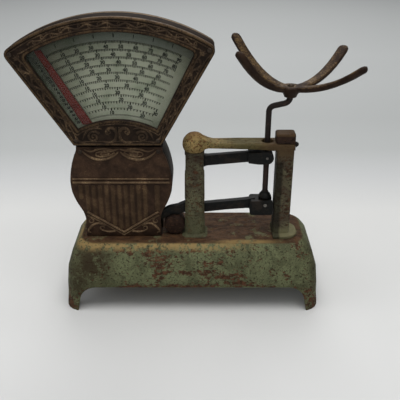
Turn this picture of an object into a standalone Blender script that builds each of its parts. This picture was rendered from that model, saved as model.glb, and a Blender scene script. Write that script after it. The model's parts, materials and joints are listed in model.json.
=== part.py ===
"""Counter scale with a fan dial, as an assembly of its castings, levers, dial and movement."""

import math

import bmesh
import bpy
from mathutils import Vector

# Units, and what every piece shares
MM = 0.001
GAP = 0.3 * MM
OVERRUN = 8 * MM
WELD_DISTANCE = 0.01 * MM
SMOOTH_ANGLE = math.radians(32)

# Driving sizes of the whole scale
BASE_LENGTH = 392 * MM
BASE_DEPTH = 152 * MM
BASE_HEIGHT = 107 * MM
BASE_WALL = 5 * MM
POST_HEIGHT = 136 * MM
POST_X = 4 * MM
LINKAGE_INSET = 60 * MM
FULCRUM_RISE = 42.5 * MM
LINK_SPACING = 75.3 * MM
LOAD_INSET = 86.3 * MM
LOAD_RISE = 9.1 * MM
HOUSING_END_CLEAR = 16.8 * MM
HOUSING_POST_CLEAR = 32.8 * MM
HOUSING_FRONT_CLEAR = 15 * MM
HOUSING_HEIGHT = 146.7 * MM
LINK_PIN_OFFSET = 21 * MM
FAN_RADIUS = 256 * MM
SHAFT_RISE = 73 * MM
STEM_DIAMETER = 8.4 * MM
STEM_OFFSET = 28.8 * MM
PAN_RISE = 176 * MM

# How far the indicator turns
INDICATOR_SWEEP = math.radians(49)

# Places that several pieces share
PLATE_Z = BASE_HEIGHT
POST_TOP_Z = PLATE_Z + POST_HEIGHT
FULCRUM_Z = PLATE_Z + FULCRUM_RISE
CHECK_Z = FULCRUM_Z + LINK_SPACING
LINKAGE_Y = LINKAGE_INSET - BASE_DEPTH / 2
LOAD_X = BASE_LENGTH / 2 - LOAD_INSET
LOAD_ARM = LOAD_X - POST_X
LOAD_Z = FULCRUM_Z + LOAD_RISE
STEM_PIN_Z = CHECK_Z + LOAD_RISE
PAN_X = LOAD_X + STEM_OFFSET
PAN_Z = LOAD_Z + PAN_RISE
SHAFT_Z = PLATE_Z + SHAFT_RISE
HOUSING_LEFT_X = HOUSING_END_CLEAR - BASE_LENGTH / 2
HOUSING_RIGHT_X = POST_X - HOUSING_POST_CLEAR
HOUSING_WIDTH = HOUSING_RIGHT_X - HOUSING_LEFT_X
HOUSING_X = (HOUSING_LEFT_X + HOUSING_RIGHT_X) / 2
HOUSING_FRONT_Y = LINKAGE_Y - HOUSING_FRONT_CLEAR
HOUSING_FOOT_Z = PLATE_Z + GAP
HOUSING_TOP_Z = PLATE_Z + HOUSING_HEIGHT
LINK_PIN_X = HOUSING_X - LINK_PIN_OFFSET

# Colours as red, green, blue, with roughness and metallic value
FINISHES = {
    "green_paint": ((0.142, 0.167, 0.107), 0.62, 0.1),
    "rusty_iron": ((0.127, 0.076, 0.046), 0.75, 0.3),
    "olive_paint": ((0.262, 0.194, 0.082), 0.6, 0.15),
    "dark_bronze": ((0.050, 0.032, 0.021), 0.5, 0.7),
    "black_iron": ((0.013, 0.014, 0.014), 0.5, 0.6),
    "bronze": ((0.075, 0.045, 0.026), 0.45, 0.8),
    "steel": ((0.30, 0.30, 0.29), 0.35, 1.0),
    "brass": ((0.42, 0.29, 0.11), 0.35, 1.0),
    "white_enamel": ((0.36, 0.39, 0.33), 0.5, 0.0),
    "glass": ((0.6, 0.66, 0.64), 0.05, 0.0),
}

places = {}


def clear_scene():
    for old in list(bpy.data.objects):
        bpy.data.objects.remove(old, do_unlink=True)


def finish_material(name):
    found = bpy.data.materials.get(name)
    if found:
        return found
    colour, roughness, metallic = FINISHES[name]
    made = bpy.data.materials.new(name)
    made.use_nodes = True
    shader = made.node_tree.nodes["Principled BSDF"]
    shader.inputs["Base Color"].default_value = (*colour, 1)
    shader.inputs["Roughness"].default_value = roughness
    shader.inputs["Metallic"].default_value = metallic
    return made


def pivot(name, at, parent=None):
    """An empty on a joint's axis, or on the scale's origin, that carries the pieces of one body."""
    empty = bpy.data.objects.new(name, None)
    bpy.context.scene.collection.objects.link(empty)
    places[name] = Vector(at)
    empty.location = places[name]
    if parent:
        empty.parent = parent
        empty.location = places[name] - places[parent.name]
    return empty


def mesh_object(name, bm, carrier):
    """The body drawn in the scale's own frame, as an object whose origin is its carrier's."""
    bmesh.ops.recalc_face_normals(bm, faces=bm.faces)
    bmesh.ops.translate(bm, verts=bm.verts, vec=-places[carrier.name])
    mesh = bpy.data.meshes.new(name)
    bm.to_mesh(mesh)
    bm.free()
    made = bpy.data.objects.new(name, mesh)
    bpy.context.scene.collection.objects.link(made)
    made.parent = carrier
    return made


def solid(name, bm, finish, carrier):
    made = mesh_object(name, bm, carrier)
    made.data.materials.append(finish_material(finish))
    made.data.shade_smooth()
    made.data.set_sharp_from_angle(angle=SMOOTH_ANGLE)
    return made


def combine(target, bm, operation):
    helper = mesh_object(f"{target.name}_{operation.lower()}", bm, target.parent)
    helper.hide_render = True
    helper.display_type = "WIRE"
    modifier = target.modifiers.new(operation.title(), "BOOLEAN")
    modifier.operation = operation
    modifier.object = helper


def cut(target, *bodies):
    for bm in bodies:
        combine(target, bm, "DIFFERENCE")


def join(target, *bodies):
    for bm in bodies:
        combine(target, bm, "UNION")


def weld(target):
    """Merges the slivers that unions of crossing shapes leave along their seams."""
    modifier = target.modifiers.new("Weld", "WELD")
    modifier.merge_threshold = WELD_DISTANCE


def skin(rings, closed=False):
    """A body from rings with equally many points: neighbours are bridged, and the ends capped."""
    bm = bmesh.new()
    loops = [[bm.verts.new(point) for point in ring] for ring in rings]
    pairs = list(zip(loops, loops[1:]))
    if closed:
        pairs.append((loops[-1], loops[0]))
    for low, high in pairs:
        for i in range(len(low)):
            j = (i + 1) % len(low)
            bm.faces.new((low[i], low[j], high[j], high[i]))
    if not closed:
        bm.faces.new(reversed(loops[0]))
        bm.faces.new(loops[-1])
    return bm


def upright(outline, y):
    return [(x, y, z) for x, z in outline]


def level(outline, z):
    return [(x, y, z) for x, y in outline]


def prism(outline, y_low, y_high):
    return skin([upright(outline, y_low), upright(outline, y_high)])


def slab(outline, z_low, z_high):
    return skin([level(outline, z_low), level(outline, z_high)])


def block(low, high):
    (x0, y0, z0), (x1, y1, z1) = low, high
    return prism([(x0, z0), (x1, z0), (x1, z1), (x0, z1)], y0, y1)


def circle(radius, sides):
    turns = [math.tau * (i + 0.5) / sides for i in range(sides)]
    return [(radius * math.cos(turn), radius * math.sin(turn)) for turn in turns]


def turned(profile, centre, axis, sides):
    """A body turned about an axis through centre, from (radius, distance along the axis) points."""
    turn_from_z = Vector((0, 0, 1)).rotation_difference(Vector(axis))
    return skin(
        [
            [Vector(centre) + turn_from_z @ Vector((x, y, along)) for x, y in circle(radius, sides)]
            for radius, along in profile
        ]
    )


def rod(radius, start, end, sides=16):
    axis = Vector(end) - Vector(start)
    return turned([(radius, 0), (radius, axis.length)], start, axis.normalized(), sides)


def corner_arc(before, corner, after, radius, steps):
    """Points of the arc that rounds off one corner."""
    here = Vector(corner)
    back = (Vector(before) - here).normalized()
    ahead = (Vector(after) - here).normalized()
    half = back.angle(ahead) / 2
    into = (back + ahead).normalized() / math.sin(half)
    first = back / math.tan(half) - into
    last = ahead / math.tan(half) - into
    return [tuple(here + (into + first.slerp(last, i / steps)) * radius) for i in range(steps + 1)]


def rounded(corners, radii, steps=4):
    """The polygon with an arc of the given radius at each corner."""
    points = []
    for i, corner in enumerate(corners):
        points += corner_arc(corners[i - 1], corner, corners[(i + 1) % len(corners)], radii[i], steps)
    return points


def rounded_box(x_low, x_high, y_low, y_high, radius, steps=4):
    corners = [(x_low, y_low), (x_high, y_low), (x_high, y_high), (x_low, y_high)]
    return rounded(corners, [radius] * len(corners), steps)


def offset(outline, distance):
    """The closed anticlockwise outline moved inwards by distance, point by point."""
    moved = []
    for i, point in enumerate(outline):
        here = Vector(point)
        into = (here - Vector(outline[i - 1])).normalized()
        out = (Vector(outline[(i + 1) % len(outline)]) - here).normalized()
        normal = Vector((-into.y - out.y, into.x + out.x)).normalized()
        share = max(normal.dot(Vector((-into.y, into.x))), 0.5)
        moved.append(tuple(here + normal * distance / share))
    return moved


def smooth_through(points, steps):
    """Catmull-Rom curve through the points, with its ends held."""
    held = [points[0], *points, points[-1]]
    curve = []
    for a, b, c, d in zip(held, held[1:], held[2:], held[3:]):
        a, b, c, d = Vector(a), Vector(b), Vector(c), Vector(d)
        for step in range(steps):
            t = step / steps
            cubic = (3 * b - a - 3 * c + d) * t**3
            square = (2 * a - 5 * b + 4 * c - d) * t**2
            curve.append(tuple((2 * b + (c - a) * t + square + cubic) / 2))
    return [*curve, points[-1]]


def bar(spine):
    """Outline of a lever from (x, z, half height) stations, left to right, anticlockwise."""
    below = [(x, z - half) for x, z, half in spine]
    above = [(x, z + half) for x, z, half in spine]
    return [*below, *reversed(above)]


# Round-headed screws
SCREW_SIDES = 12


def screw_body(head, shank, at, axis):
    """A round-headed screw: its head stands on at, and its shank runs back along the axis."""
    head_radius, head_height = head
    radius, length = shank
    profile = [
        (radius, -length),
        (radius, 0),
        (head_radius, 0),
        (head_radius, head_height * 0.4),
        (head_radius * 0.5, head_height),
    ]
    return turned(profile, at, axis, SCREW_SIDES)


def screw_hole(radius, at, axis, length):
    start = Vector(at) + Vector(axis) * OVERRUN
    return rod(radius + GAP, start, Vector(at) - Vector(axis) * (length + GAP), SCREW_SIDES)


# Base casting: a hollow box with a flared skirt and four corner feet
BASE_FLARE = 30 * MM
BASE_CORNER = 26 * MM
SKIRT_RISE = 41 * MM
FOOT_WIDTH = 20 * MM
ARCH_LEAN = 8 * MM
ARCH_RADIUS = 25 * MM
BASE_PROFILE_SHARES = (
    (0, 0),
    (0.01, 0.06),
    (0.07, 0.22),
    (0.09, 0.38),
    (0.17, 0.61),
    (0.40, 0.82),
    (0.70, 0.945),
    (0.85, 0.985),
    (1, 1),
)


def base_rings(wall, height):
    rings = []
    for flare_share, height_share in BASE_PROFILE_SHARES:
        half_x = BASE_LENGTH / 2 - BASE_FLARE * flare_share - wall
        half_y = BASE_DEPTH / 2 - BASE_FLARE * flare_share - wall
        outline = rounded_box(-half_x, half_x, -half_y, half_y, BASE_CORNER - wall, 5)
        rings.append(level(outline, height * height_share))
    return rings


def arch(half_width):
    """Opening between two feet, in the width of a side and the height, with leaning sides."""
    top = half_width - ARCH_LEAN
    below = half_width + ARCH_LEAN * OVERRUN / SKIRT_RISE
    corners = [(-below, -OVERRUN), (below, -OVERRUN), (top, SKIRT_RISE), (-top, SKIRT_RISE)]
    small = OVERRUN / 4
    return rounded(corners, [small, small, ARCH_RADIUS, ARCH_RADIUS], 6)


def base_casting(stand):
    outer = base_rings(0, BASE_HEIGHT)
    inner = base_rings(BASE_WALL, BASE_HEIGHT - BASE_WALL)
    base = solid("base_casting", skin([*reversed(outer), *inner]), "green_paint", stand)
    reach_x = BASE_LENGTH / 2 + OVERRUN
    reach_y = BASE_DEPTH / 2 + OVERRUN
    long_arch = prism(arch(BASE_LENGTH / 2 - FOOT_WIDTH), -reach_y, reach_y)
    end_outline = arch(BASE_DEPTH / 2 - FOOT_WIDTH)
    end_arch = skin([[(x, y, z) for y, z in end_outline] for x in (-reach_x, reach_x)])
    cut(base, long_arch, end_arch)
    return base


# Bolts that come up through the base plate
BOLT_RADIUS = 2.5 * MM
BOLT_HEAD = (5 * MM, 4 * MM)


def base_bolt(name, base, x, y, depth, held):
    """A bolt from below the plate, reaching depth into the piece that it holds."""
    radius, height = BOLT_HEAD
    under = PLATE_Z - BASE_WALL - GAP
    top = PLATE_Z + depth
    profile = [(radius, -height), (radius, 0), (BOLT_RADIUS, 0), (BOLT_RADIUS, top - under)]
    body = turned(profile, (x, y, under), (0, 0, 1), SCREW_SIDES)
    solid(name, body, "black_iron", base.parent)
    cut(base, rod(BOLT_RADIUS + GAP, (x, y, under - OVERRUN), (x, y, PLATE_Z + OVERRUN), SCREW_SIDES))
    cut(held, rod(BOLT_RADIUS + GAP, (x, y, PLATE_Z - OVERRUN), (x, y, top + GAP), SCREW_SIDES))


# Middle post: a column with one slot for each lever
POST_WIDTH = 28.6 * MM
POST_DEPTH = 30 * MM
POST_SPREAD = 1.2 * MM
POST_ROUND = 9 * MM
POST_FILLET = 4 * MM
SLOT_WIDTH = 20 * MM
BEAM_SLOT_BELOW = 21.5 * MM
BEAM_SLOT_ABOVE = 18 * MM
CHECK_SLOT_BELOW = 17 * MM
CHECK_SLOT_ABOVE = 13.5 * MM
POST_BOLT_SPREAD = 8 * MM
POST_BOLT_DEPTH = 12 * MM


def post_ring(z, grow):
    half_x = POST_WIDTH / 2 + grow
    half_y = POST_DEPTH / 2 + grow
    left, right = POST_X - half_x, POST_X + half_x
    return level(rounded_box(left, right, LINKAGE_Y - half_y, LINKAGE_Y + half_y, POST_ROUND), z)


def post_slot(low, high):
    reach = POST_WIDTH / 2 + OVERRUN
    half = SLOT_WIDTH / 2
    return block((POST_X - reach, LINKAGE_Y - half, low), (POST_X + reach, LINKAGE_Y + half, high))


def middle_post(stand, base):
    foot_z = PLATE_Z + GAP
    rings = [
        post_ring(foot_z, POST_SPREAD + POST_FILLET),
        post_ring(foot_z + POST_FILLET * 0.3, POST_SPREAD + POST_FILLET * 0.45),
        post_ring(foot_z + POST_FILLET, POST_SPREAD),
        post_ring(POST_TOP_Z, 0),
    ]
    post = solid("middle_post", skin(rings), "green_paint", stand)
    cut(
        post,
        post_slot(FULCRUM_Z - BEAM_SLOT_BELOW, FULCRUM_Z + BEAM_SLOT_ABOVE),
        post_slot(CHECK_Z - CHECK_SLOT_BELOW, CHECK_Z + CHECK_SLOT_ABOVE),
    )
    for name, side in (("post_bolt_front", -1), ("post_bolt_rear", 1)):
        base_bolt(name, base, POST_X, LINKAGE_Y + side * POST_BOLT_SPREAD, POST_BOLT_DEPTH, post)
    return post


# Top frame: one casting of ball end, arm, right post and foot flange
BALL_RADIUS = 17.7 * MM
BALL_RISE = 10 * MM
ARM_RISE = 14.4 * MM
ARM_DEPTH = 30 * MM
ARM_THICK = 11 * MM
ARM_EDGE = 2 * MM
ARM_ROUND_SHARE = 0.6
RIGHT_POST_WIDTH = 25.4 * MM
RIGHT_POST_CLEAR = 13.6 * MM
RIGHT_POST_ROUND = 5 * MM
STEM_HOLE_RADIUS = 9 * MM
FLANGE_THICKNESS = 5 * MM
FLANGE_FRONT = 9 * MM
FLANGE_RIGHT = 11.5 * MM
FLANGE_ROUND = 18 * MM
FLANGE_EDGE = 1.2 * MM
FOOT_BOLT_INSET = 6.5 * MM
FOOT_BOLT_DEPTH = 3.6 * MM
ARM_TOP_Z = POST_TOP_Z + ARM_RISE
RIGHT_POST_X = LOAD_X + RIGHT_POST_CLEAR
FRAME_RIGHT_X = RIGHT_POST_X + RIGHT_POST_WIDTH
ARM_STATION_SHARES = (
    (0.02, 0.86, 0.52, 1.26),
    (0.09, 0.80, 0.36, 1.00),
    (0.14, 0.75, 0.16, 0.66),
    (0.19, 0.78, 0.03, 0.51),
    (0.26, 0.86, 0, 0.46),
    (0.45, 0.97, 0, 0.46),
    (0.62, 1, 0, 0.50),
    (0.72, 1, 0, 0.56),
    (0.80, 1, 0, 0.63),
)


def ball_body():
    first = -math.asin((BALL_RISE - GAP) / BALL_RADIUS)
    steps = 9
    profile = []
    for i in range(steps + 1):
        turn = first + (math.pi / 2 - first) * i / steps
        profile.append((max(BALL_RADIUS * math.cos(turn), BALL_RADIUS * 0.06), BALL_RADIUS * math.sin(turn)))
    centre = (POST_X, LINKAGE_Y, POST_TOP_Z + BALL_RISE)
    return turned(profile, centre, (0, 0, 1), 20)


def arm_ring(x, half_y, top, thickness):
    edge = min(half_y, thickness / 2) * ARM_ROUND_SHARE
    outline = rounded_box(LINKAGE_Y - half_y, LINKAGE_Y + half_y, top - thickness, top, edge, 3)
    return [(x, y, z) for y, z in outline]


def arm_body():
    """The arm from inside the ball to its square end over the right post."""
    length = FRAME_RIGHT_X - ARM_EDGE - POST_X
    half_y = ARM_DEPTH / 2
    rings = []
    for along, depth, rise, thickness in ARM_STATION_SHARES:
        top = ARM_TOP_Z + BALL_RADIUS * rise
        rings.append(arm_ring(POST_X + length * along, half_y * depth, top, BALL_RADIUS * thickness))
    rings.append(arm_ring(FRAME_RIGHT_X - ARM_EDGE, half_y, ARM_TOP_Z, ARM_THICK))
    rings.append(arm_ring(FRAME_RIGHT_X, half_y - ARM_EDGE, ARM_TOP_Z - ARM_EDGE / 2, ARM_THICK - ARM_EDGE))
    return skin(rings)


def right_post_body():
    half_y = ARM_DEPTH / 2
    front, back = LINKAGE_Y - half_y + GAP, LINKAGE_Y + half_y - GAP
    outline = rounded_box(RIGHT_POST_X, FRAME_RIGHT_X - GAP, front, back, RIGHT_POST_ROUND)
    return slab(outline, PLATE_Z + FLANGE_THICKNESS / 2, ARM_TOP_Z - ARM_THICK / 2)


def flange_outline(inset):
    half_y = ARM_DEPTH / 2 + FLANGE_FRONT - inset
    front, back = LINKAGE_Y - half_y, LINKAGE_Y + half_y
    left = RIGHT_POST_X - GAP + inset
    right = FRAME_RIGHT_X + FLANGE_RIGHT - inset
    corners = [(left, front), (right, front), (right, back), (left, back)]
    return rounded(corners, [FLANGE_EDGE, FLANGE_ROUND, FLANGE_ROUND, FLANGE_EDGE])


def flange_body():
    foot_z = PLATE_Z + GAP
    rings = [
        level(flange_outline(0), foot_z),
        level(flange_outline(0), foot_z + FLANGE_THICKNESS - FLANGE_EDGE),
        level(flange_outline(FLANGE_EDGE), foot_z + FLANGE_THICKNESS),
    ]
    return skin(rings)


def top_frame(stand, base):
    frame = solid("top_frame", arm_body(), "olive_paint", stand)
    join(frame, ball_body(), right_post_body(), flange_body())
    hole_low = (LOAD_X, LINKAGE_Y, ARM_TOP_Z - ARM_THICK - OVERRUN)
    cut(frame, rod(STEM_HOLE_RADIUS, hole_low, (LOAD_X, LINKAGE_Y, ARM_TOP_Z + OVERRUN), 24))
    bolt_x = FRAME_RIGHT_X + FLANGE_RIGHT - FOOT_BOLT_INSET
    for name, side in (("foot_bolt_front", -1), ("foot_bolt_rear", 1)):
        bolt_y = LINKAGE_Y + side * (ARM_DEPTH / 2 - FOOT_BOLT_INSET)
        base_bolt(name, base, bolt_x, bolt_y, FOOT_BOLT_DEPTH, frame)
    return frame


# Screw inside the middle post that holds the ball end down
ARM_SCREW = (2.2 * MM, 12 * MM)
ARM_SCREW_HEAD = (4.5 * MM, 1.4 * MM)


def arm_screw(stand, post, frame):
    radius, length = ARM_SCREW
    under = CHECK_Z + CHECK_SLOT_ABOVE - GAP
    at = (POST_X, LINKAGE_Y, under)
    solid("arm_screw", screw_body(ARM_SCREW_HEAD, ARM_SCREW, at, (0, 0, -1)), "steel", stand)
    cut(post, rod(radius + GAP, at, (POST_X, LINKAGE_Y, POST_TOP_Z + OVERRUN), SCREW_SIDES))
    cut(frame, rod(radius + GAP, at, (POST_X, LINKAGE_Y, under + length + GAP), SCREW_SIDES))


# Cap block on the arm, and the side screw with its small plate
CAP_WIDTH = 28 * MM
CAP_DEPTH = 23 * MM
CAP_HEIGHT = 14.5 * MM
CAP_EDGE = 1.6 * MM
CAP_ROUND = 3.5 * MM
STOP_SIZE = (1.6 * MM, 9 * MM, 13 * MM)
STOP_DROP = 1.5 * MM
SIDE_SCREW = (2 * MM, 9 * MM)
SIDE_SCREW_HEAD = (4 * MM, 4.5 * MM)


def post_cap(stand):
    right = FRAME_RIGHT_X + GAP
    front = LINKAGE_Y - ARM_DEPTH / 2 + GAP
    low = ARM_TOP_Z + GAP

    def ring(z, inset):
        left, back = right - CAP_WIDTH + inset, front + CAP_DEPTH - inset
        return level(rounded_box(left, right - inset, front + inset, back, CAP_ROUND), z)

    body = skin([ring(low, 0), ring(low + CAP_HEIGHT - CAP_EDGE, 0), ring(low + CAP_HEIGHT, CAP_EDGE)])
    solid("post_cap", body, "rusty_iron", stand)


def side_screw(stand, frame):
    thickness, width, height = STOP_SIZE
    face = FRAME_RIGHT_X + GAP
    centre_z = ARM_TOP_Z - ARM_THICK / 2 - STOP_DROP
    low = (face, LINKAGE_Y - width / 2, centre_z - height / 2)
    high = (face + thickness, LINKAGE_Y + width / 2, centre_z + height / 2)
    plate = solid("stop_plate", block(low, high), "black_iron", stand)
    at = (face + thickness + GAP, LINKAGE_Y, ARM_TOP_Z - ARM_THICK / 2)
    solid("side_screw", screw_body(SIDE_SCREW_HEAD, SIDE_SCREW, at, (1, 0, 0)), "steel", stand)
    for piece in (plate, frame):
        cut(piece, screw_hole(SIDE_SCREW[0], at, (1, 0, 0), SIDE_SCREW[1]))


# Knife edge of the beam, and the two V bearings that carry it in the post
KNIFE_HEIGHT = 8 * MM
KNIFE_SLOPE = math.radians(25)
VEE_SLOPE = math.radians(60)
VEE_DEPTH = 3.4 * MM
BEARING_WIDTH = 18 * MM
BEAM_WIDTH = 9 * MM
BEARING_CLEAR = 0.6 * MM


def knife_outline():
    half = KNIFE_HEIGHT * math.tan(KNIFE_SLOPE)
    back = FULCRUM_Z + KNIFE_HEIGHT
    return [(POST_X, FULCRUM_Z), (POST_X + half, back), (POST_X - half, back)]


def fulcrum(stand, beam_axis):
    low = FULCRUM_Z - BEAM_SLOT_BELOW + GAP
    edge = FULCRUM_Z - GAP
    top = edge + VEE_DEPTH
    half = BEARING_WIDTH / 2
    vee = VEE_DEPTH * math.tan(VEE_SLOPE)
    outline = [
        (POST_X - half, low),
        (POST_X + half, low),
        (POST_X + half, top),
        (POST_X + vee, top),
        (POST_X, edge),
        (POST_X - vee, top),
        (POST_X - half, top),
    ]
    near = BEAM_WIDTH / 2 + BEARING_CLEAR
    far = SLOT_WIDTH / 2 - GAP
    solid("fulcrum_bearing_front", prism(outline, LINKAGE_Y - far, LINKAGE_Y - near), "steel", stand)
    solid("fulcrum_bearing_rear", prism(outline, LINKAGE_Y + near, LINKAGE_Y + far), "steel", stand)
    reach = far - BEARING_CLEAR
    solid("fulcrum_knife", prism(knife_outline(), LINKAGE_Y - reach, LINKAGE_Y + reach), "steel", beam_axis)


# Main beam: a cranked lever with a fork at the pan end
BEAM_HEIGHT = 14 * MM
LINK_ARM = POST_X - LINK_PIN_X
LINK_DROP = 21.5 * MM
BEAM_BOSS = 12 * MM
BEAM_END_RADIUS = 7 * MM
FORK_BACK = 22.5 * MM
FORK_REACH = 11.5 * MM
FORK_LOW = 16.2 * MM
FORK_HIGH = 6.9 * MM
FORK_WIDTH = 26 * MM
FORK_ROUND = 3 * MM
YOKE_WIDTH = 12.4 * MM
YOKE_LENGTH = 13 * MM
YOKE_SIDE_CLEAR = 0.6 * MM
YOKE_SWING_CLEAR = 2.6 * MM
LOAD_PIN_RADIUS = 2.5 * MM
LINK_PIN_RADIUS = 2 * MM
LINK_PIN_Z = FULCRUM_Z - LINK_DROP
BEAM_LEFT_SHARES = (
    (1.0, 1.0, 0.5),
    (0.74, 0.91, 0.86),
    (0.54, 0.70, 1.0),
    (0.38, 0.49, 1.05),
    (0.287, 0.233, 1.07),
    (0.205, 0.14, 1.09),
    (0.14, -0.03, 1.12),
    (0.093, -0.12, 1.25),
)
BEAM_RIGHT_SHARES = (
    (0.09, 0.14, 1.3),
    (0.14, 0.16, 1.04),
    (0.45, 0.56, 1.0),
    (0.74, 0.87, 1.05),
)
BEAM_LAP_SHARE = 0.34
BEAM_LAP_HEIGHT_SHARE = 1.25


def beam_outline():
    spine = []
    for along, drop, height in BEAM_LEFT_SHARES:
        spine.append((POST_X - LINK_ARM * along, FULCRUM_Z - LINK_DROP * drop, BEAM_HEIGHT / 2 * height))
    spine.append((POST_X, FULCRUM_Z + LOAD_RISE * 0.2, BEAM_BOSS))
    for along, rise, height in BEAM_RIGHT_SHARES:
        spine.append((POST_X + LOAD_ARM * along, FULCRUM_Z + LOAD_RISE * rise, BEAM_HEIGHT / 2 * height))
    lap_x = LOAD_X - FORK_BACK * (1 - BEAM_LAP_SHARE)
    spine.append((lap_x, LOAD_Z, BEAM_HEIGHT / 2 * BEAM_LAP_HEIGHT_SHARE))
    return bar(spine)


def fork_body():
    low, high = LOAD_Z - FORK_LOW, LOAD_Z + FORK_HIGH
    outline = rounded_box(LOAD_X - FORK_BACK, LOAD_X + FORK_REACH, low, high, FORK_ROUND, 3)
    return prism(outline, LINKAGE_Y - FORK_WIDTH / 2, LINKAGE_Y + FORK_WIDTH / 2)


def main_beam(beam_axis):
    front, back = LINKAGE_Y - BEAM_WIDTH / 2, LINKAGE_Y + BEAM_WIDTH / 2
    beam = solid("main_beam", prism(beam_outline(), front, back), "black_iron", beam_axis)
    eye_front, eye_back = (LINK_PIN_X, front + GAP, LINK_PIN_Z), (LINK_PIN_X, back - GAP, LINK_PIN_Z)
    join(beam, fork_body(), rod(BEAM_END_RADIUS, eye_front, eye_back, 20))
    slot_half = YOKE_WIDTH / 2 + YOKE_SIDE_CLEAR
    slot_x = LOAD_X - YOKE_LENGTH / 2 - YOKE_SWING_CLEAR
    slot_low = (slot_x, LINKAGE_Y - slot_half, LOAD_Z - FORK_LOW - OVERRUN)
    slot_high = (LOAD_X + FORK_REACH + OVERRUN, LINKAGE_Y + slot_half, LOAD_Z + FORK_HIGH + OVERRUN)
    cut(beam, block(slot_low, slot_high))
    reach = FORK_WIDTH / 2 + OVERRUN
    for x, z, radius in ((LOAD_X, LOAD_Z, LOAD_PIN_RADIUS), (LINK_PIN_X, LINK_PIN_Z, LINK_PIN_RADIUS)):
        cut(beam, rod(radius + GAP, (x, LINKAGE_Y - reach, z), (x, LINKAGE_Y + reach, z)))
    cut(beam, prism(offset(knife_outline(), -GAP), LINKAGE_Y - reach, LINKAGE_Y + reach))
    reach = FORK_WIDTH / 2 + BEARING_CLEAR
    pin = rod(LOAD_PIN_RADIUS, (LOAD_X, LINKAGE_Y - reach, LOAD_Z), (LOAD_X, LINKAGE_Y + reach, LOAD_Z))
    solid("load_pin", pin, "steel", beam_axis)
    return beam


# Counterweight drum under the elbow, and the bolt through the beam that holds it
DRUM_RADIUS = 15.5 * MM
DRUM_WIDTH = 22 * MM
DRUM_OFFSET = 31 * MM
DRUM_CLEAR = 1.2 * MM
DRUM_EDGE = 1.5 * MM
DRUM_BOLT_RADIUS = 2 * MM
DRUM_BOLT_HEAD = (4 * MM, 2.4 * MM)
DRUM_RECESS_SHARE = 1.6


def beam_top_at(x):
    outline = beam_outline()
    above = outline[len(outline) // 2 :]
    for (x_right, z_right), (x_left, z_left) in zip(above, above[1:]):
        if x_left <= x <= x_right:
            return z_left + (z_right - z_left) * (x - x_left) / (x_right - x_left)
    return FULCRUM_Z


def counterweight(beam, beam_axis):
    x = POST_X - DRUM_OFFSET
    z = PLATE_Z + DRUM_CLEAR + DRUM_RADIUS
    low = LINKAGE_Y - DRUM_WIDTH / 2
    profile = [
        (DRUM_RADIUS - DRUM_EDGE, 0),
        (DRUM_RADIUS, DRUM_EDGE),
        (DRUM_RADIUS, DRUM_WIDTH - DRUM_EDGE),
        (DRUM_RADIUS - DRUM_EDGE, DRUM_WIDTH),
    ]
    drum = solid("counterweight", turned(profile, (x, low, z), (0, 1, 0), 28), "rusty_iron", beam_axis)
    reach = BEAM_WIDTH / 2 + GAP
    cut(drum, prism(offset(beam_outline(), -GAP), LINKAGE_Y - reach, LINKAGE_Y + reach))
    radius, head_height = DRUM_BOLT_HEAD
    under = z - DRUM_RADIUS + head_height * DRUM_RECESS_SHARE
    at = (x, LINKAGE_Y, under)
    length = beam_top_at(x) - BEAM_WIDTH / 4 - under
    bolt = screw_body(DRUM_BOLT_HEAD, (DRUM_BOLT_RADIUS, length), at, (0, 0, -1))
    solid("counterweight_bolt", bolt, "steel", beam_axis)
    for piece in (beam, drum):
        cut(piece, screw_hole(DRUM_BOLT_RADIUS, at, (0, 0, -1), length))
    cut(drum, rod(radius + 2 * GAP, (x, LINKAGE_Y, under - DRUM_RADIUS), (x, LINKAGE_Y, under + GAP)))


# Check link: the upper lever, which keeps the stem upright
CHECK_HEIGHT = 15.6 * MM
CHECK_EYE = 11.4 * MM
CHECK_PIN_RADIUS = 2.5 * MM
CHECK_FORK_WIDTH = 22 * MM
CHECK_FORK_RADIUS = 9.7 * MM
CHECK_FORK_BACK = 27 * MM
STEM_PIN_RADIUS = 1.8 * MM
STEM_SIDE_CLEAR = 1 * MM
STEM_SWING_CLEAR = 2 * MM
CHECK_SHARES = (
    (0.06, 0.16, 1.42),
    (0.12, 0.27, 1.2),
    (0.18, 0.36, 1.0),
    (0.72, 0.92, 0.96),
)
FORK_LAP_SHARE = 0.2


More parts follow.
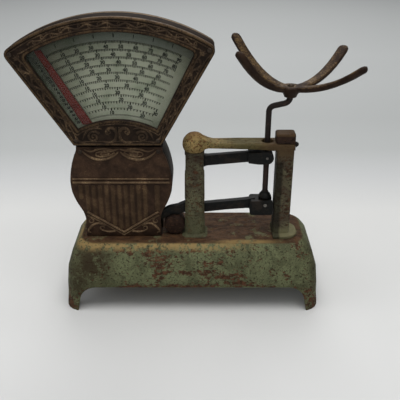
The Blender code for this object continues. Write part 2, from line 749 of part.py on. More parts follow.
def check_link(stand, check_axis):
    spine = [(POST_X, CHECK_Z, CHECK_EYE * 0.9)]
    for along, rise, height in CHECK_SHARES:
        spine.append((POST_X + LOAD_ARM * along, CHECK_Z + LOAD_RISE * rise, CHECK_HEIGHT / 2 * height))
    spine.append((LOAD_X - CHECK_FORK_BACK * (1 - FORK_LAP_SHARE), STEM_PIN_Z, CHECK_HEIGHT / 2))
    front, back = LINKAGE_Y - BEAM_WIDTH / 2, LINKAGE_Y + BEAM_WIDTH / 2
    link = solid("check_link", prism(bar(spine), front, back), "black_iron", check_axis)
    eye = rod(CHECK_EYE, (POST_X, front + GAP, CHECK_Z), (POST_X, back - GAP, CHECK_Z), 24)
    fork = [
        (LOAD_X - CHECK_FORK_BACK, STEM_PIN_Z - CHECK_FORK_RADIUS * 0.78),
        (LOAD_X - CHECK_FORK_BACK * 0.5, STEM_PIN_Z - CHECK_FORK_RADIUS * 0.98),
    ]
    steps = 10
    for i in range(steps + 1):
        turn = -math.pi / 2 + math.pi * i / steps
        x, z = CHECK_FORK_RADIUS * math.cos(turn), CHECK_FORK_RADIUS * math.sin(turn)
        fork.append((LOAD_X + x, STEM_PIN_Z + z))
    fork.append((LOAD_X - CHECK_FORK_BACK, STEM_PIN_Z + CHECK_FORK_RADIUS * 0.82))
    half = CHECK_FORK_WIDTH / 2
    join(link, eye, prism(fork, LINKAGE_Y - half, LINKAGE_Y + half))
    slot_half = STEM_DIAMETER / 2 + STEM_SIDE_CLEAR
    slot_x = LOAD_X - STEM_DIAMETER / 2 - STEM_SWING_CLEAR
    slot_reach = CHECK_FORK_RADIUS + OVERRUN
    slot_low = (slot_x, LINKAGE_Y - slot_half, STEM_PIN_Z - slot_reach)
    cut(link, block(slot_low, (LOAD_X + slot_reach, LINKAGE_Y + slot_half, STEM_PIN_Z + slot_reach)))
    reach = half + OVERRUN
    for x, z, radius in ((LOAD_X, STEM_PIN_Z, STEM_PIN_RADIUS), (POST_X, CHECK_Z, CHECK_PIN_RADIUS)):
        cut(link, rod(radius + GAP, (x, LINKAGE_Y - reach, z), (x, LINKAGE_Y + reach, z)))
    for name, x, z, radius, reach, carrier in (
        ("stem_pin", LOAD_X, STEM_PIN_Z, STEM_PIN_RADIUS, half + BEARING_CLEAR, check_axis),
        ("check_pivot_pin", POST_X, CHECK_Z, CHECK_PIN_RADIUS, SLOT_WIDTH / 2 - GAP, stand),
    ):
        pin = rod(radius, (x, LINKAGE_Y - reach, z), (x, LINKAGE_Y + reach, z))
        solid(name, pin, "steel", carrier)


# Pan stem: a round rod with a crank near its top, on a domed yoke
STEM_CRANK_RISE = 150 * MM
STEM_CRANK_STEP = 6.5 * MM
STEM_BEND = 9 * MM
STEM_TOP_DROP = 5 * MM
STEM_SEAT = 7 * MM
YOKE_BELOW = 11 * MM
DOME_RADIUS = 9.5 * MM
DOME_HEIGHT = 9 * MM
DOME_RISE = 9.6 * MM


def bent_path(points, radius, steps=5):
    """The open path with its inner corners rounded."""
    path = [points[0]]
    for a, b, c in zip(points, points[1:], points[2:]):
        path += corner_arc(a, b, c, radius, steps)
    return [*path, points[-1]]


def swept(path, radius, y, sides=12):
    """A round rod along a path in the plane of the linkage."""
    rings = []
    for i, point in enumerate(path):
        here = Vector(point)
        ahead = Vector(path[min(i + 1, len(path) - 1)]) - here
        back = here - Vector(path[max(i - 1, 0)])
        along = (ahead.normalized() + back.normalized()).normalized()
        side = Vector((along.y, -along.x))
        rings.append([(here.x + side.x * a, y + b, here.y + side.y * a) for a, b in circle(radius, sides)])
    return skin(rings)


def pan_stem(stem_axis):
    foot = LOAD_Z + STEM_SEAT
    crank_z = LOAD_Z + STEM_CRANK_RISE
    corners = [
        (LOAD_X, foot),
        (LOAD_X, crank_z),
        (PAN_X, crank_z + STEM_CRANK_STEP),
        (PAN_X, PAN_Z - STEM_TOP_DROP),
    ]
    body = swept(bent_path(corners, STEM_BEND), STEM_DIAMETER / 2, LINKAGE_Y)
    stem = solid("pan_stem", body, "black_iron", stem_axis)
    reach = STEM_DIAMETER / 2 + OVERRUN
    low = (LOAD_X, LINKAGE_Y - reach, STEM_PIN_Z)
    cut(stem, rod(STEM_PIN_RADIUS + GAP, low, (LOAD_X, LINKAGE_Y + reach, STEM_PIN_Z)))


def stem_yoke(stem_axis):
    half_x, half_y = YOKE_LENGTH / 2, YOKE_WIDTH / 2
    low = (LOAD_X - half_x, LINKAGE_Y - half_y, LOAD_Z - YOKE_BELOW)
    high = (LOAD_X + half_x, LINKAGE_Y + half_y, LOAD_Z + DOME_RISE + GAP)
    yoke = solid("stem_yoke", block(low, high), "black_iron", stem_axis)
    steps = 5
    profile = []
    for i in range(steps + 1):
        turn = math.pi / 2 * i / steps
        profile.append((max(DOME_RADIUS * math.cos(turn), DOME_RADIUS * 0.55), DOME_HEIGHT * math.sin(turn)))
    join(yoke, turned(profile, (LOAD_X, LINKAGE_Y, LOAD_Z + DOME_RISE), (0, 0, 1), 20))
    top = (LOAD_X, LINKAGE_Y, LOAD_Z + DOME_RISE + DOME_HEIGHT + OVERRUN)
    cut(yoke, rod(STEM_DIAMETER / 2 + GAP, (LOAD_X, LINKAGE_Y, LOAD_Z + STEM_SEAT - GAP), top))
    front, back = LINKAGE_Y - half_y - OVERRUN, LINKAGE_Y + half_y + OVERRUN
    cut(yoke, rod(LOAD_PIN_RADIUS + GAP, (LOAD_X, front, LOAD_Z), (LOAD_X, back, LOAD_Z)))


# Pan spider: a hub with four upswept arms, the left pair steeper
SPIDER_ARM_WIDTH = 16.4 * MM
SPIDER_ARM_THICKNESS = 9.4 * MM
SPIDER_ARM_TIP = 8 * MM
SPIDER_SECTION_SHARES = (
    (-1, 0),
    (-0.8, -0.6),
    (-0.38, -1),
    (0.38, -1),
    (0.8, -0.6),
    (1, 0),
    (1, 0.4),
    (0.85, 0.72),
    (0.45, 0.86),
    (-0.45, 0.86),
    (-0.85, 0.72),
    (-1, 0.4),
)
SPIDER_TIP_SHARES = ((0.5, 0.87), (0.82, 0.57), (1, 0.28))
LEFT_REACH = 74.5 * MM
LEFT_SPREAD = 56 * MM
LEFT_RISE = 58 * MM
RIGHT_REACH = 80.5 * MM
RIGHT_SPREAD = 59 * MM
RIGHT_RISE = 40.5 * MM
LEFT_POWERS = (1.22, 2.11)
RIGHT_POWERS = (1.5, 2.33)
ARM_ROOT_SHARE = 0.3
HUB_RADIUS = 14.5 * MM
HUB_BELOW = 12 * MM
HUB_ABOVE = 4.2 * MM
HUB_PROFILE_SHARES = ((0.42, 0), (0.60, 0.06), (0.68, 0.25), (0.86, 0.48), (1, 0.68), (1, 0.92), (0.9, 1))
SPIDER_SCREW = (2.4 * MM, 7 * MM)
SPIDER_SCREW_HEAD = (4.4 * MM, 2.4 * MM)


def spider_ring(at, along, share):
    """The rounded flat section of an arm, across its path."""
    side = along.cross(Vector((0, 0, 1))).normalized()
    up = side.cross(along).normalized()
    half_w = SPIDER_ARM_WIDTH / 2 * share
    half_t = SPIDER_ARM_THICKNESS / 2 * min(1, share * 1.25)
    return [at + side * (half_w * a) + up * (half_t * b) for a, b in SPIDER_SECTION_SHARES]


def spider_arm(reach, spread, rise, powers, side):
    """One arm from inside the hub: it bends outwards in plan, and upwards, by the two powers."""
    steps = 9
    root = HUB_RADIUS * ARM_ROOT_SHARE / abs(reach)
    plan_power, lift_power = powers
    points = []
    for i in range(steps + 1):
        u = root + (1 - root) * i / steps
        across = side * spread * u**plan_power
        points.append(Vector((PAN_X + reach * u, LINKAGE_Y + across, PAN_Z + rise * u**lift_power)))
    rings = []
    for i, at in enumerate(points):
        along = (points[min(i + 1, steps)] - points[max(i - 1, 0)]).normalized()
        rings.append(spider_ring(at, along, 0.82 + 0.18 * i / steps))
    for tip_share, share in SPIDER_TIP_SHARES:
        rings.append(spider_ring(points[-1] + along * SPIDER_ARM_TIP * tip_share, along, share))
    return skin(rings)


def pan_spider(stem_axis):
    height = HUB_BELOW + HUB_ABOVE
    profile = [(HUB_RADIUS * a, height * b) for a, b in HUB_PROFILE_SHARES]
    hub = turned(profile, (PAN_X, LINKAGE_Y, PAN_Z - HUB_BELOW), (0, 0, 1), 20)
    spider = solid("pan_spider", hub, "bronze", stem_axis)
    for side in (-1, 1):
        join(spider, spider_arm(-LEFT_REACH, LEFT_SPREAD, LEFT_RISE, LEFT_POWERS, side))
        join(spider, spider_arm(RIGHT_REACH, RIGHT_SPREAD, RIGHT_RISE, RIGHT_POWERS, side))
    bottom = (PAN_X, LINKAGE_Y, PAN_Z - HUB_BELOW - OVERRUN)
    cut(spider, rod(STEM_DIAMETER / 2 + GAP, bottom, (PAN_X, LINKAGE_Y, PAN_Z - STEM_TOP_DROP + GAP)))
    at = (PAN_X, LINKAGE_Y, PAN_Z + HUB_ABOVE + GAP)
    cut(spider, screw_hole(SPIDER_SCREW[0], at, (0, 0, 1), SPIDER_SCREW[1]))
    weld(spider)
    solid("spider_screw", screw_body(SPIDER_SCREW_HEAD, SPIDER_SCREW, at, (0, 0, 1)), "steel", stem_axis)


# Lower housing: a vase-shaped shell with an ornamented front plate and a back door
HOUSING_DEPTH = 53.5 * MM
HOUSING_WALL = 3 * MM
FRONT_PLATE = 3.6 * MM
DOOR_PLATE = 3 * MM
PLATE_INSET = 0.6 * MM
LUG_RADIUS = 4.5 * MM
LUG_LENGTH = 9 * MM
LUG_INSET = 7 * MM
SMALL_SCREW = (1.5 * MM, 8 * MM)
SMALL_SCREW_HEAD = (3.2 * MM, 1.9 * MM)
SLOT_INSET = 8.3 * MM
BEAM_OPENING = 26 * MM
HOUSING_BOLT_INSET = 11 * MM
HOUSING_BOLT_DEPTH = 7 * MM
HOUSING_PAD = (7 * MM, 10 * MM)
DOOR_LUG_SHARE = 0.62
VASE_SHARES = (
    (0.771, 0),
    (0.761, 0.16),
    (0.760, 0.215),
    (0.798, 0.288),
    (0.858, 0.345),
    (0.918, 0.41),
    (0.982, 0.51),
    (1.0, 0.62),
    (0.981, 0.71),
    (0.94, 0.81),
    (0.878, 0.905),
    (0.84, 0.95),
    (0.829, 1),
)
HOUSING_BACK_Y = HOUSING_FRONT_Y + HOUSING_DEPTH


def vase_side():
    height = HOUSING_TOP_Z - HOUSING_FOOT_Z
    points = [(HOUSING_WIDTH / 2 * a, HOUSING_FOOT_Z + height * b) for a, b in VASE_SHARES]
    return smooth_through(points, 2)


def vase_outline(inset):
    side = vase_side()
    right = [(HOUSING_X + x, z) for x, z in side]
    left = [(HOUSING_X - x, z) for x, z in reversed(side)]
    return offset([*right, *left], inset)


def vase_half_width(z):
    side = vase_side()
    for (x_low, z_low), (x_high, z_high) in zip(side, side[1:]):
        if z_low <= z <= z_high:
            return x_low + (x_high - x_low) * (z - z_low) / (z_high - z_low)
    return side[0][0]


def housing_bolt_offset():
    return vase_half_width(HOUSING_FOOT_Z) - HOUSING_BOLT_INSET


def shell_band():
    """The shell's wall seen from the front: open below, so it is one thick arch."""
    outer = vase_outline(0)
    inner = [(x, max(z, HOUSING_FOOT_Z)) for x, z in vase_outline(HOUSING_WALL)]
    inner[0] = (inner[0][0], HOUSING_FOOT_Z)
    inner[-1] = (inner[-1][0], HOUSING_FOOT_Z)
    return [*outer, *reversed(inner)]


def small_screw(name, at, axis, carrier, *pieces):
    solid(name, screw_body(SMALL_SCREW_HEAD, SMALL_SCREW, at, axis), "steel", carrier)
    for piece in pieces:
        cut(piece, screw_hole(SMALL_SCREW[0], at, axis, SMALL_SCREW[1]))


def housing(stand, base):
    front_y = HOUSING_FRONT_Y + FRONT_PLATE + GAP
    back_y = HOUSING_BACK_Y - DOOR_PLATE - GAP
    shell = solid("housing_shell", prism(shell_band(), front_y, back_y), "dark_bronze", stand)
    lug_z = HOUSING_TOP_Z - LUG_INSET
    lug_x = vase_half_width(lug_z) - LUG_INSET
    door_z = HOUSING_FOOT_Z + HOUSING_HEIGHT * DOOR_LUG_SHARE
    door_x = vase_half_width(door_z) - LUG_INSET
    pad_x, pad_z = HOUSING_PAD
    bolt_x = housing_bolt_offset()
    for side in (-1, 1):
        x = HOUSING_X + side * lug_x
        join(shell, rod(LUG_RADIUS, (x, front_y + GAP, lug_z), (x, front_y + LUG_LENGTH, lug_z)))
        x = HOUSING_X + side * door_x
        join(shell, rod(LUG_RADIUS, (x, back_y - LUG_LENGTH, door_z), (x, back_y - GAP, door_z)))
        x = HOUSING_X + side * bolt_x
        wall_x = HOUSING_X + side * (vase_half_width(HOUSING_FOOT_Z) - HOUSING_WALL / 2)
        left, right = sorted((x - side * pad_x, wall_x))
        join(shell, block((left, -pad_x, HOUSING_FOOT_Z + GAP / 2), (right, pad_x, HOUSING_FOOT_Z + pad_z)))
    slot_half = vase_half_width(HOUSING_TOP_Z) - SLOT_INSET
    slot_low = (HOUSING_X - slot_half, front_y - OVERRUN, HOUSING_TOP_Z - HOUSING_WALL - OVERRUN / 4)
    cut(shell, block(slot_low, (HOUSING_X + slot_half, CHART_Y, HOUSING_TOP_Z + OVERRUN)))
    hole_low = (HOUSING_X + pad_x, LINKAGE_Y - BEAM_OPENING / 2, HOUSING_FOOT_Z + DRUM_CLEAR / 2)
    hole_high = (HOUSING_RIGHT_X + OVERRUN, LINKAGE_Y + BEAM_OPENING / 2, FULCRUM_Z + BEAM_BOSS)
    cut(shell, block(hole_low, hole_high))
    outline = vase_outline(PLATE_INSET)
    front_body = prism(outline, HOUSING_FRONT_Y, HOUSING_FRONT_Y + FRONT_PLATE)
    front = solid("housing_front", front_body, "dark_bronze", stand)
    back_body = prism(outline, HOUSING_BACK_Y - DOOR_PLATE, HOUSING_BACK_Y)
    back = solid("housing_back", back_body, "dark_bronze", stand)
    for name, side in (("left", -1), ("right", 1)):
        at = (HOUSING_X + side * lug_x, HOUSING_FRONT_Y - GAP, lug_z)
        small_screw(f"housing_screw_{name}", at, (0, -1, 0), stand, front, shell)
        at = (HOUSING_X + side * door_x, HOUSING_BACK_Y + GAP, door_z)
        small_screw(f"door_screw_{name}", at, (0, 1, 0), stand, back, shell)
        base_bolt(f"housing_bolt_{name}", base, HOUSING_X + side * bolt_x, 0, HOUSING_BOLT_DEPTH, shell)


# Fan dial: case, bezel, glass, chart and back plate, all drawn about the pointer's shaft.
# It is wider on the left, where the indicator's column of prices rests.
FAN_LEFT_SLOPE = math.radians(33)
FAN_RIGHT_SLOPE = math.radians(29.6)
WINDOW_LEFT_SIDE = (math.radians(32), -6.2 * MM)
WINDOW_RIGHT_SIDE = (math.radians(26.8), 3.4 * MM)
FAN_FOOT_RISE = 3 * MM
FAN_FOOT_HALF = 61.2 * MM
FAN_LEFT_LAP = 2.6 * MM
FAN_CORNER = 10 * MM
FAN_DEPTH = 40 * MM
FAN_WALL = 3 * MM
FAN_LEDGE = 7 * MM
BEZEL_THICKNESS = 3.6 * MM
BEZEL_ROLL = 1.4 * MM
BEZEL_LIP = 4 * MM
BEZEL_WIDTH = 20.5 * MM
WINDOW_FOOT_RADIUS = 115.5 * MM
WINDOW_CORNER = 5 * MM
GLASS_LAP = 4 * MM
GLASS_THICKNESS = 2 * MM
CHART_THICKNESS = 1.6 * MM
CHART_BACK = 12.3 * MM
BACK_PLATE = 3 * MM
BACK_PANEL = 2 * MM
CASE_LUG = (6.5 * MM, 4 * MM)
CASE_LUG_INSET = 8 * MM
NECK_INSET = 5 * MM
NECK_FRONT = 1 * MM
NECK_WALL = 2.4 * MM
NECK_SIDE_WALL = 2.2 * MM
BEZEL_SCREW = (1.5 * MM, 6.6 * MM)
BACK_SCREW_INSET = 4 * MM
FAN_FRONT_Y = HOUSING_FRONT_Y - 3 * MM
CASE_FRONT_Y = FAN_FRONT_Y + BEZEL_THICKNESS + GAP
CASE_BACK_Y = FAN_FRONT_Y + FAN_DEPTH - BACK_PLATE - GAP
CHART_Y = CASE_FRONT_Y + CHART_BACK
FAN_FOOT_Z = HOUSING_TOP_Z + FAN_FOOT_RISE
FOOT_STEPS = 7


def fan_side(slope, foot_half):
    """The slope of a side of the fan, and how far the shaft is from its line."""
    return slope, foot_half * math.cos(slope) - (FAN_FOOT_Z - SHAFT_Z) * math.sin(slope)


# A side as it lies right of the shaft: the left ones are mirrored where they are drawn
FAN_SIDES = {
    -1: fan_side(FAN_LEFT_SLOPE, FAN_FOOT_HALF + FAN_LEFT_LAP),
    1: fan_side(FAN_RIGHT_SLOPE, FAN_FOOT_HALF),
}
WINDOW_SIDES = {-1: WINDOW_LEFT_SIDE, 1: WINDOW_RIGHT_SIDE}


def side_direction(slope):
    """Along a side that leans outwards by slope, and outwards across it."""
    return Vector((math.sin(slope), math.cos(slope))), Vector((math.cos(slope), -math.sin(slope)))


def side_meets_circle(side, inset, radius):
    """Where a side, moved in by inset, meets a circle about the shaft."""
    slope, reach = side
    along, across = side_direction(slope)
    distance = reach - inset
    return across * distance + along * math.sqrt(radius**2 - distance**2)


def side_meets_level(side, inset, rise):
    slope, reach = side
    along, across = side_direction(slope)
    start = across * (reach - inset)
    return start + along * ((rise - start.y) / along.y)


def fan_half(side, foot_half, radius, corner, inset):
    """Half of a fan about the shaft, from the foot's middle up a side to the top's middle."""
    corner_steps, top_steps = 4, 12
    centre = side_meets_circle(side, inset + corner, radius - corner)
    top_turn = math.atan2(centre.x, centre.y)
    first_turn = math.pi / 2 + side[0]
    half = list(foot_half)
    for i in range(corner_steps + 1):
        turn = first_turn + (top_turn - first_turn) * i / corner_steps
        half.append((centre.x + corner * math.sin(turn), centre.y + corner * math.cos(turn)))
    for i in range(1, top_steps + 1):
        turn = top_turn * (1 - i / top_steps)
        half.append((radius * math.sin(turn), radius * math.cos(turn)))
    return half


def fan_outline(left, right):
    """Closed anticlockwise fan from its two halves, of which the left one is mirrored."""
    mirrored = [(-x, z) for x, z in reversed(left[1:-1])]
    return [(HOUSING_X + x, SHAFT_Z + z) for x, z in [*right, *mirrored]]


def case_half(side, inset):
    rise = FAN_FOOT_Z - SHAFT_Z + inset
    end = side_meets_level(side, inset, rise)
    foot = [(end.x * i / FOOT_STEPS, rise) for i in range(FOOT_STEPS + 1)]
    return fan_half(side, foot, FAN_RADIUS - inset, max(FAN_CORNER - inset, FAN_CORNER / 4), inset)


def case_outline(inset):
    return fan_outline(case_half(FAN_SIDES[-1], inset), case_half(FAN_SIDES[1], inset))


def window_half(side, grow):
    radius = WINDOW_FOOT_RADIUS - grow
    end = side_meets_circle(side, -grow, radius)
    turns = [math.atan2(end.x, end.y) * i / FOOT_STEPS for i in range(FOOT_STEPS + 1)]
    foot = [(radius * math.sin(turn), radius * math.cos(turn)) for turn in turns]
    return fan_half(side, foot, FAN_RADIUS - BEZEL_WIDTH + grow, WINDOW_CORNER + grow, -grow)


def window_outline(grow):
    return fan_outline(window_half(WINDOW_SIDES[-1], grow), window_half(WINDOW_SIDES[1], grow))


def bezel_screw_places():
    """Screws in the four corners, in from the sides and from the top arc or the foot."""
    found = []
    for name, hand in (("left", -1), ("right", 1)):
        side = FAN_SIDES[hand]
        top = side_meets_circle(side, CASE_LUG_INSET, FAN_RADIUS - CASE_LUG_INSET)
        foot = side_meets_level(side, CASE_LUG_INSET, FAN_FOOT_Z - SHAFT_Z + CASE_LUG_INSET)
        found.append((f"top_{name}", HOUSING_X + hand * top.x, SHAFT_Z + top.y))
        found.append((f"foot_{name}", HOUSING_X + hand * foot.x, SHAFT_Z + foot.y))
    return found


def fan_case(stand):
    outer, inner, ledge = case_outline(0), case_outline(FAN_WALL), case_outline(FAN_LEDGE)
    rings = [
        upright(outer, CASE_FRONT_Y),
        upright(outer, CASE_BACK_Y),
        upright(ledge, CASE_BACK_Y),
        upright(ledge, CHART_Y),
        upright(inner, CHART_Y),
        upright(inner, CASE_FRONT_Y),
    ]
    case = solid("fan_case", skin(rings, closed=True), "dark_bronze", stand)
    neck_half = FAN_FOOT_HALF - NECK_INSET
    neck_front = CASE_FRONT_Y + NECK_FRONT
    neck_low = (HOUSING_X - neck_half, neck_front, HOUSING_TOP_Z + GAP)
    neck_high = (HOUSING_X + neck_half, CASE_BACK_Y - NECK_INSET, FAN_FOOT_Z + FAN_WALL / 2)
    join(case, block(neck_low, neck_high))
    radius, length = CASE_LUG
    for _, x, z in bezel_screw_places():
        join(case, rod(radius, (x, CASE_FRONT_Y + GAP, z), (x, CASE_FRONT_Y + length, z)))
    slot_half = neck_half - NECK_SIDE_WALL
    slot_low = (HOUSING_X - slot_half, neck_front + NECK_WALL, HOUSING_TOP_Z - OVERRUN)
    cut(case, block(slot_low, (HOUSING_X + slot_half, CHART_Y, FAN_FOOT_Z + FAN_WALL + OVERRUN)))
    return case


def fan_bezel(stand, case):
    front = BEZEL_THICKNESS
    section = (
        (case_outline(0), 0),
        (case_outline(0), front),
        (case_outline(BEZEL_ROLL), front + BEZEL_ROLL),
        (case_outline(BEZEL_ROLL * 2), front + BEZEL_ROLL),
        (case_outline(BEZEL_ROLL * 3), front),
        (window_outline(BEZEL_LIP * 1.2), front),
        (window_outline(BEZEL_LIP), front + BEZEL_LIP / 4),
        (window_outline(BEZEL_LIP / 3), front + BEZEL_LIP / 4),
        (window_outline(0), front / 2),
        (window_outline(0), 0),
    )
    back_y = FAN_FRONT_Y + BEZEL_THICKNESS
    rings = [upright(outline, back_y - rise) for outline, rise in section]
    bezel = solid("fan_bezel", skin(rings, closed=True), "dark_bronze", stand)
    radius, length = BEZEL_SCREW
    for name, x, z in bezel_screw_places():
        at = (x, FAN_FRONT_Y - GAP, z)
        screw = screw_body(SMALL_SCREW_HEAD, BEZEL_SCREW, at, (0, -1, 0))
        solid(f"bezel_screw_{name}", screw, "steel", stand)
        for piece in (bezel, case):
            cut(piece, screw_hole(radius, at, (0, -1, 0), length))


def fan_window(stand):
    glass = prism(window_outline(GLASS_LAP), CASE_FRONT_Y, CASE_FRONT_Y + GLASS_THICKNESS)
    solid("fan_glass", glass, "glass", stand)
    back = CHART_Y - GAP
    chart = case_outline(FAN_WALL + GAP)
    solid("chart_plate", prism(chart, back - CHART_THICKNESS, back), "white_enamel", stand)


def fan_back(stand, case):
    back_y = FAN_FRONT_Y + FAN_DEPTH
    panel = case_outline(BEZEL_WIDTH * 0.8)
    rings = [
        upright(case_outline(0), back_y - BACK_PLATE),
        upright(case_outline(0), back_y),
        upright(panel, back_y),
        upright(case_outline(BEZEL_WIDTH * 0.88), back_y + BACK_PANEL),
    ]
    plate = solid("fan_back", skin(rings), "dark_bronze", stand)
    for name, side in (("left", -1), ("right", 1)):
        middle = side_meets_circle(FAN_SIDES[side], BACK_SCREW_INSET, FAN_RADIUS * 0.7)
        at = (HOUSING_X + side * middle.x, back_y + GAP, SHAFT_Z + middle.y)
        small_screw(f"back_screw_{name}", at, (0, 1, 0), stand, plate, case)


# Movement: indicator, shaft, crank, pendulum and their frame, inside the housing
SHAFT_RADIUS = 3 * MM
SHAFT_BEHIND = 45.5 * MM
POINTER_THICKNESS = 1.5 * MM
POINTER_FRONT_CLEAR = 4 * MM
POINTER_HUB = (9 * MM, 4 * MM)
POINTER_SHARES = (
    (-0.026, 0.016),
    (-0.155, 0.335),
    (-0.262, 0.42),
    (-0.512, 0.872),
    (-0.420, 0.906),
    (-0.142, 0.446),
    (-0.103, 0.326),
    (0.026, 0.016),
)
POINTER_LENGTH = 234 * MM
CRANK_RADIUS = 21.7 * MM
CRANK_THICKNESS = 2.5 * MM
CRANK_BOSS = 7 * MM
CRANK_EYE = 4.5 * MM
CRANK_PIN_RADIUS = 1.5 * MM
DRAW_THICKNESS = 2 * MM
DRAW_EYE = 6 * MM
DRAW_PLAY = 1.5 * MM
DRAW_WAIST = 3 * MM
PENDULUM_LENGTH = 48 * MM
PENDULUM_ROD = 1.6 * MM
PENDULUM_BOSS = 6 * MM
BOB_RADIUS = 13 * MM
BOB_THICKNESS = 7 * MM
BOB_EDGE = 1.5 * MM
FRAME_PLATE = 3.5 * MM
FRAME_SPACE = 10.5 * MM
FRAME_FOOT_HEIGHT = 4.5 * MM
FRAME_FOOT_CLEAR = 5 * MM
FRAME_NECK = 20 * MM
BUSHING_RADIUS = 5 * MM
BUSHING_LIP = 0.5 * MM
FRAME_HEAD = 9.5 * MM
FRAME_BOLT_DEPTH = 3.6 * MM
DRAW_FRONT_Y = LINKAGE_Y + BEAM_WIDTH / 2 + GAP
CRANK_FRONT_Y = DRAW_FRONT_Y + DRAW_THICKNESS + GAP
FRAME_FRONT_Y = CRANK_FRONT_Y + CRANK_THICKNESS + BUSHING_LIP + 2 * GAP
FRAME_REAR_Y = FRAME_FRONT_Y + FRAME_PLATE + FRAME_SPACE
POINTER_Y = CASE_FRONT_Y + GLASS_THICKNESS + POINTER_FRONT_CLEAR - POINTER_THICKNESS / 2
CRANK_PIN_X = HOUSING_X - CRANK_RADIUS * math.cos(INDICATOR_SWEEP / 2)
CRANK_PIN_Z = SHAFT_Z - CRANK_RADIUS * math.sin(INDICATOR_SWEEP / 2)


def shaft_line(start_y, end_y, radius, sides=16):
    return rod(radius, (HOUSING_X, start_y, SHAFT_Z), (HOUSING_X, end_y, SHAFT_Z), sides)


def indicator(pointer_axis):
    outline = [(HOUSING_X + POINTER_LENGTH * a, SHAFT_Z + POINTER_LENGTH * b) for a, b in POINTER_SHARES]
    half = POINTER_THICKNESS / 2
    body = prism(outline, POINTER_Y - half, POINTER_Y + half)
    pointer = solid("indicator", body, "white_enamel", pointer_axis)
    radius, length = POINTER_HUB
    join(pointer, shaft_line(POINTER_Y - length / 2, POINTER_Y + length / 2, radius, 20))
    cut(pointer, shaft_line(POINTER_Y - OVERRUN, POINTER_Y + OVERRUN, SHAFT_RADIUS + GAP))


def crank_arm(pointer_axis):
    outline = []
    steps = 8
    lean = math.pi + INDICATOR_SWEEP / 2
    for centre_x, centre_z, radius, start in (
        (CRANK_PIN_X, CRANK_PIN_Z, CRANK_EYE, lean - math.pi / 2),
        (HOUSING_X, SHAFT_Z, CRANK_BOSS, lean + math.pi / 2),
    ):
        for i in range(steps + 1):
            turn = start + math.pi * i / steps
            outline.append((centre_x + radius * math.cos(turn), centre_z + radius * math.sin(turn)))
    body = prism(outline, CRANK_FRONT_Y, CRANK_FRONT_Y + CRANK_THICKNESS)
    crank = solid("crank_arm", body, "brass", pointer_axis)
    pin_front = (CRANK_PIN_X, DRAW_FRONT_Y, CRANK_PIN_Z)
    pin_back = (CRANK_PIN_X, CRANK_FRONT_Y + CRANK_THICKNESS / 2, CRANK_PIN_Z)
    join(crank, rod(CRANK_PIN_RADIUS, pin_front, pin_back, 12))
    cut(crank, shaft_line(CRANK_FRONT_Y - OVERRUN, CRANK_FRONT_Y + OVERRUN, SHAFT_RADIUS + GAP))


def draw_link(draw_axis):
    low = Vector((LINK_PIN_X, LINK_PIN_Z))
    high = Vector((CRANK_PIN_X, CRANK_PIN_Z))
    along = (high - low).normalized()
    side = Vector((along.y, -along.x)) * DRAW_WAIST
    back = DRAW_FRONT_Y + DRAW_THICKNESS
    strip = prism([low - side, low + side, high + side, high - side], DRAW_FRONT_Y + GAP / 4, back - GAP / 4)
    link = solid("draw_link", strip, "brass", draw_axis)
    for end in (low, high):
        join(link, rod(DRAW_EYE, (end.x, DRAW_FRONT_Y, end.y), (end.x, back, end.y), 20))
    for end, radius in ((low, LINK_PIN_RADIUS + GAP), (high, CRANK_PIN_RADIUS + DRAW_PLAY)):
        cut(link, rod(radius, (end.x, DRAW_FRONT_Y - OVERRUN, end.y), (end.x, back + OVERRUN, end.y)))


def pendulum(pointer_axis):
    middle = FRAME_FRONT_Y + FRAME_PLATE + FRAME_SPACE / 2
    bottom = SHAFT_Z - PENDULUM_LENGTH
    rod_top = (HOUSING_X, middle, SHAFT_Z - PENDULUM_BOSS * 0.8)
    rod_end = (HOUSING_X, middle, bottom - BOB_RADIUS - BOB_EDGE)
    hanger = solid("pendulum_rod", rod(PENDULUM_ROD, rod_top, rod_end, 12), "steel", pointer_axis)
    join(hanger, shaft_line(middle - BOB_THICKNESS / 2, middle + BOB_THICKNESS / 2, PENDULUM_BOSS))
    cut(hanger, shaft_line(middle - BOB_THICKNESS, middle + BOB_THICKNESS, SHAFT_RADIUS + GAP))
    profile = [
        (BOB_RADIUS - BOB_EDGE, 0),
        (BOB_RADIUS, BOB_EDGE),
        (BOB_RADIUS, BOB_THICKNESS - BOB_EDGE),
        (BOB_RADIUS - BOB_EDGE, BOB_THICKNESS),
    ]
    at = (HOUSING_X, middle - BOB_THICKNESS / 2, bottom)
    bob = solid("pendulum_bob", turned(profile, at, (0, 1, 0), 24), "brass", pointer_axis)
    hole_low = (HOUSING_X, middle, bottom - BOB_RADIUS * 2)
    cut(bob, rod(PENDULUM_ROD + GAP, hole_low, (HOUSING_X, middle, bottom + BOB_RADIUS * 2), 12))


def upright_plate():
    low = PLATE_Z + GAP + FRAME_FOOT_HEIGHT / 2
    outline = [(HOUSING_X + FRAME_NECK, low)]
    steps = 10
    for i in range(steps + 1):
        turn = math.pi * i / steps
        outline.append((HOUSING_X + FRAME_HEAD * math.cos(turn), SHAFT_Z + FRAME_HEAD * math.sin(turn)))
    return [*outline, (HOUSING_X - FRAME_NECK, low)]


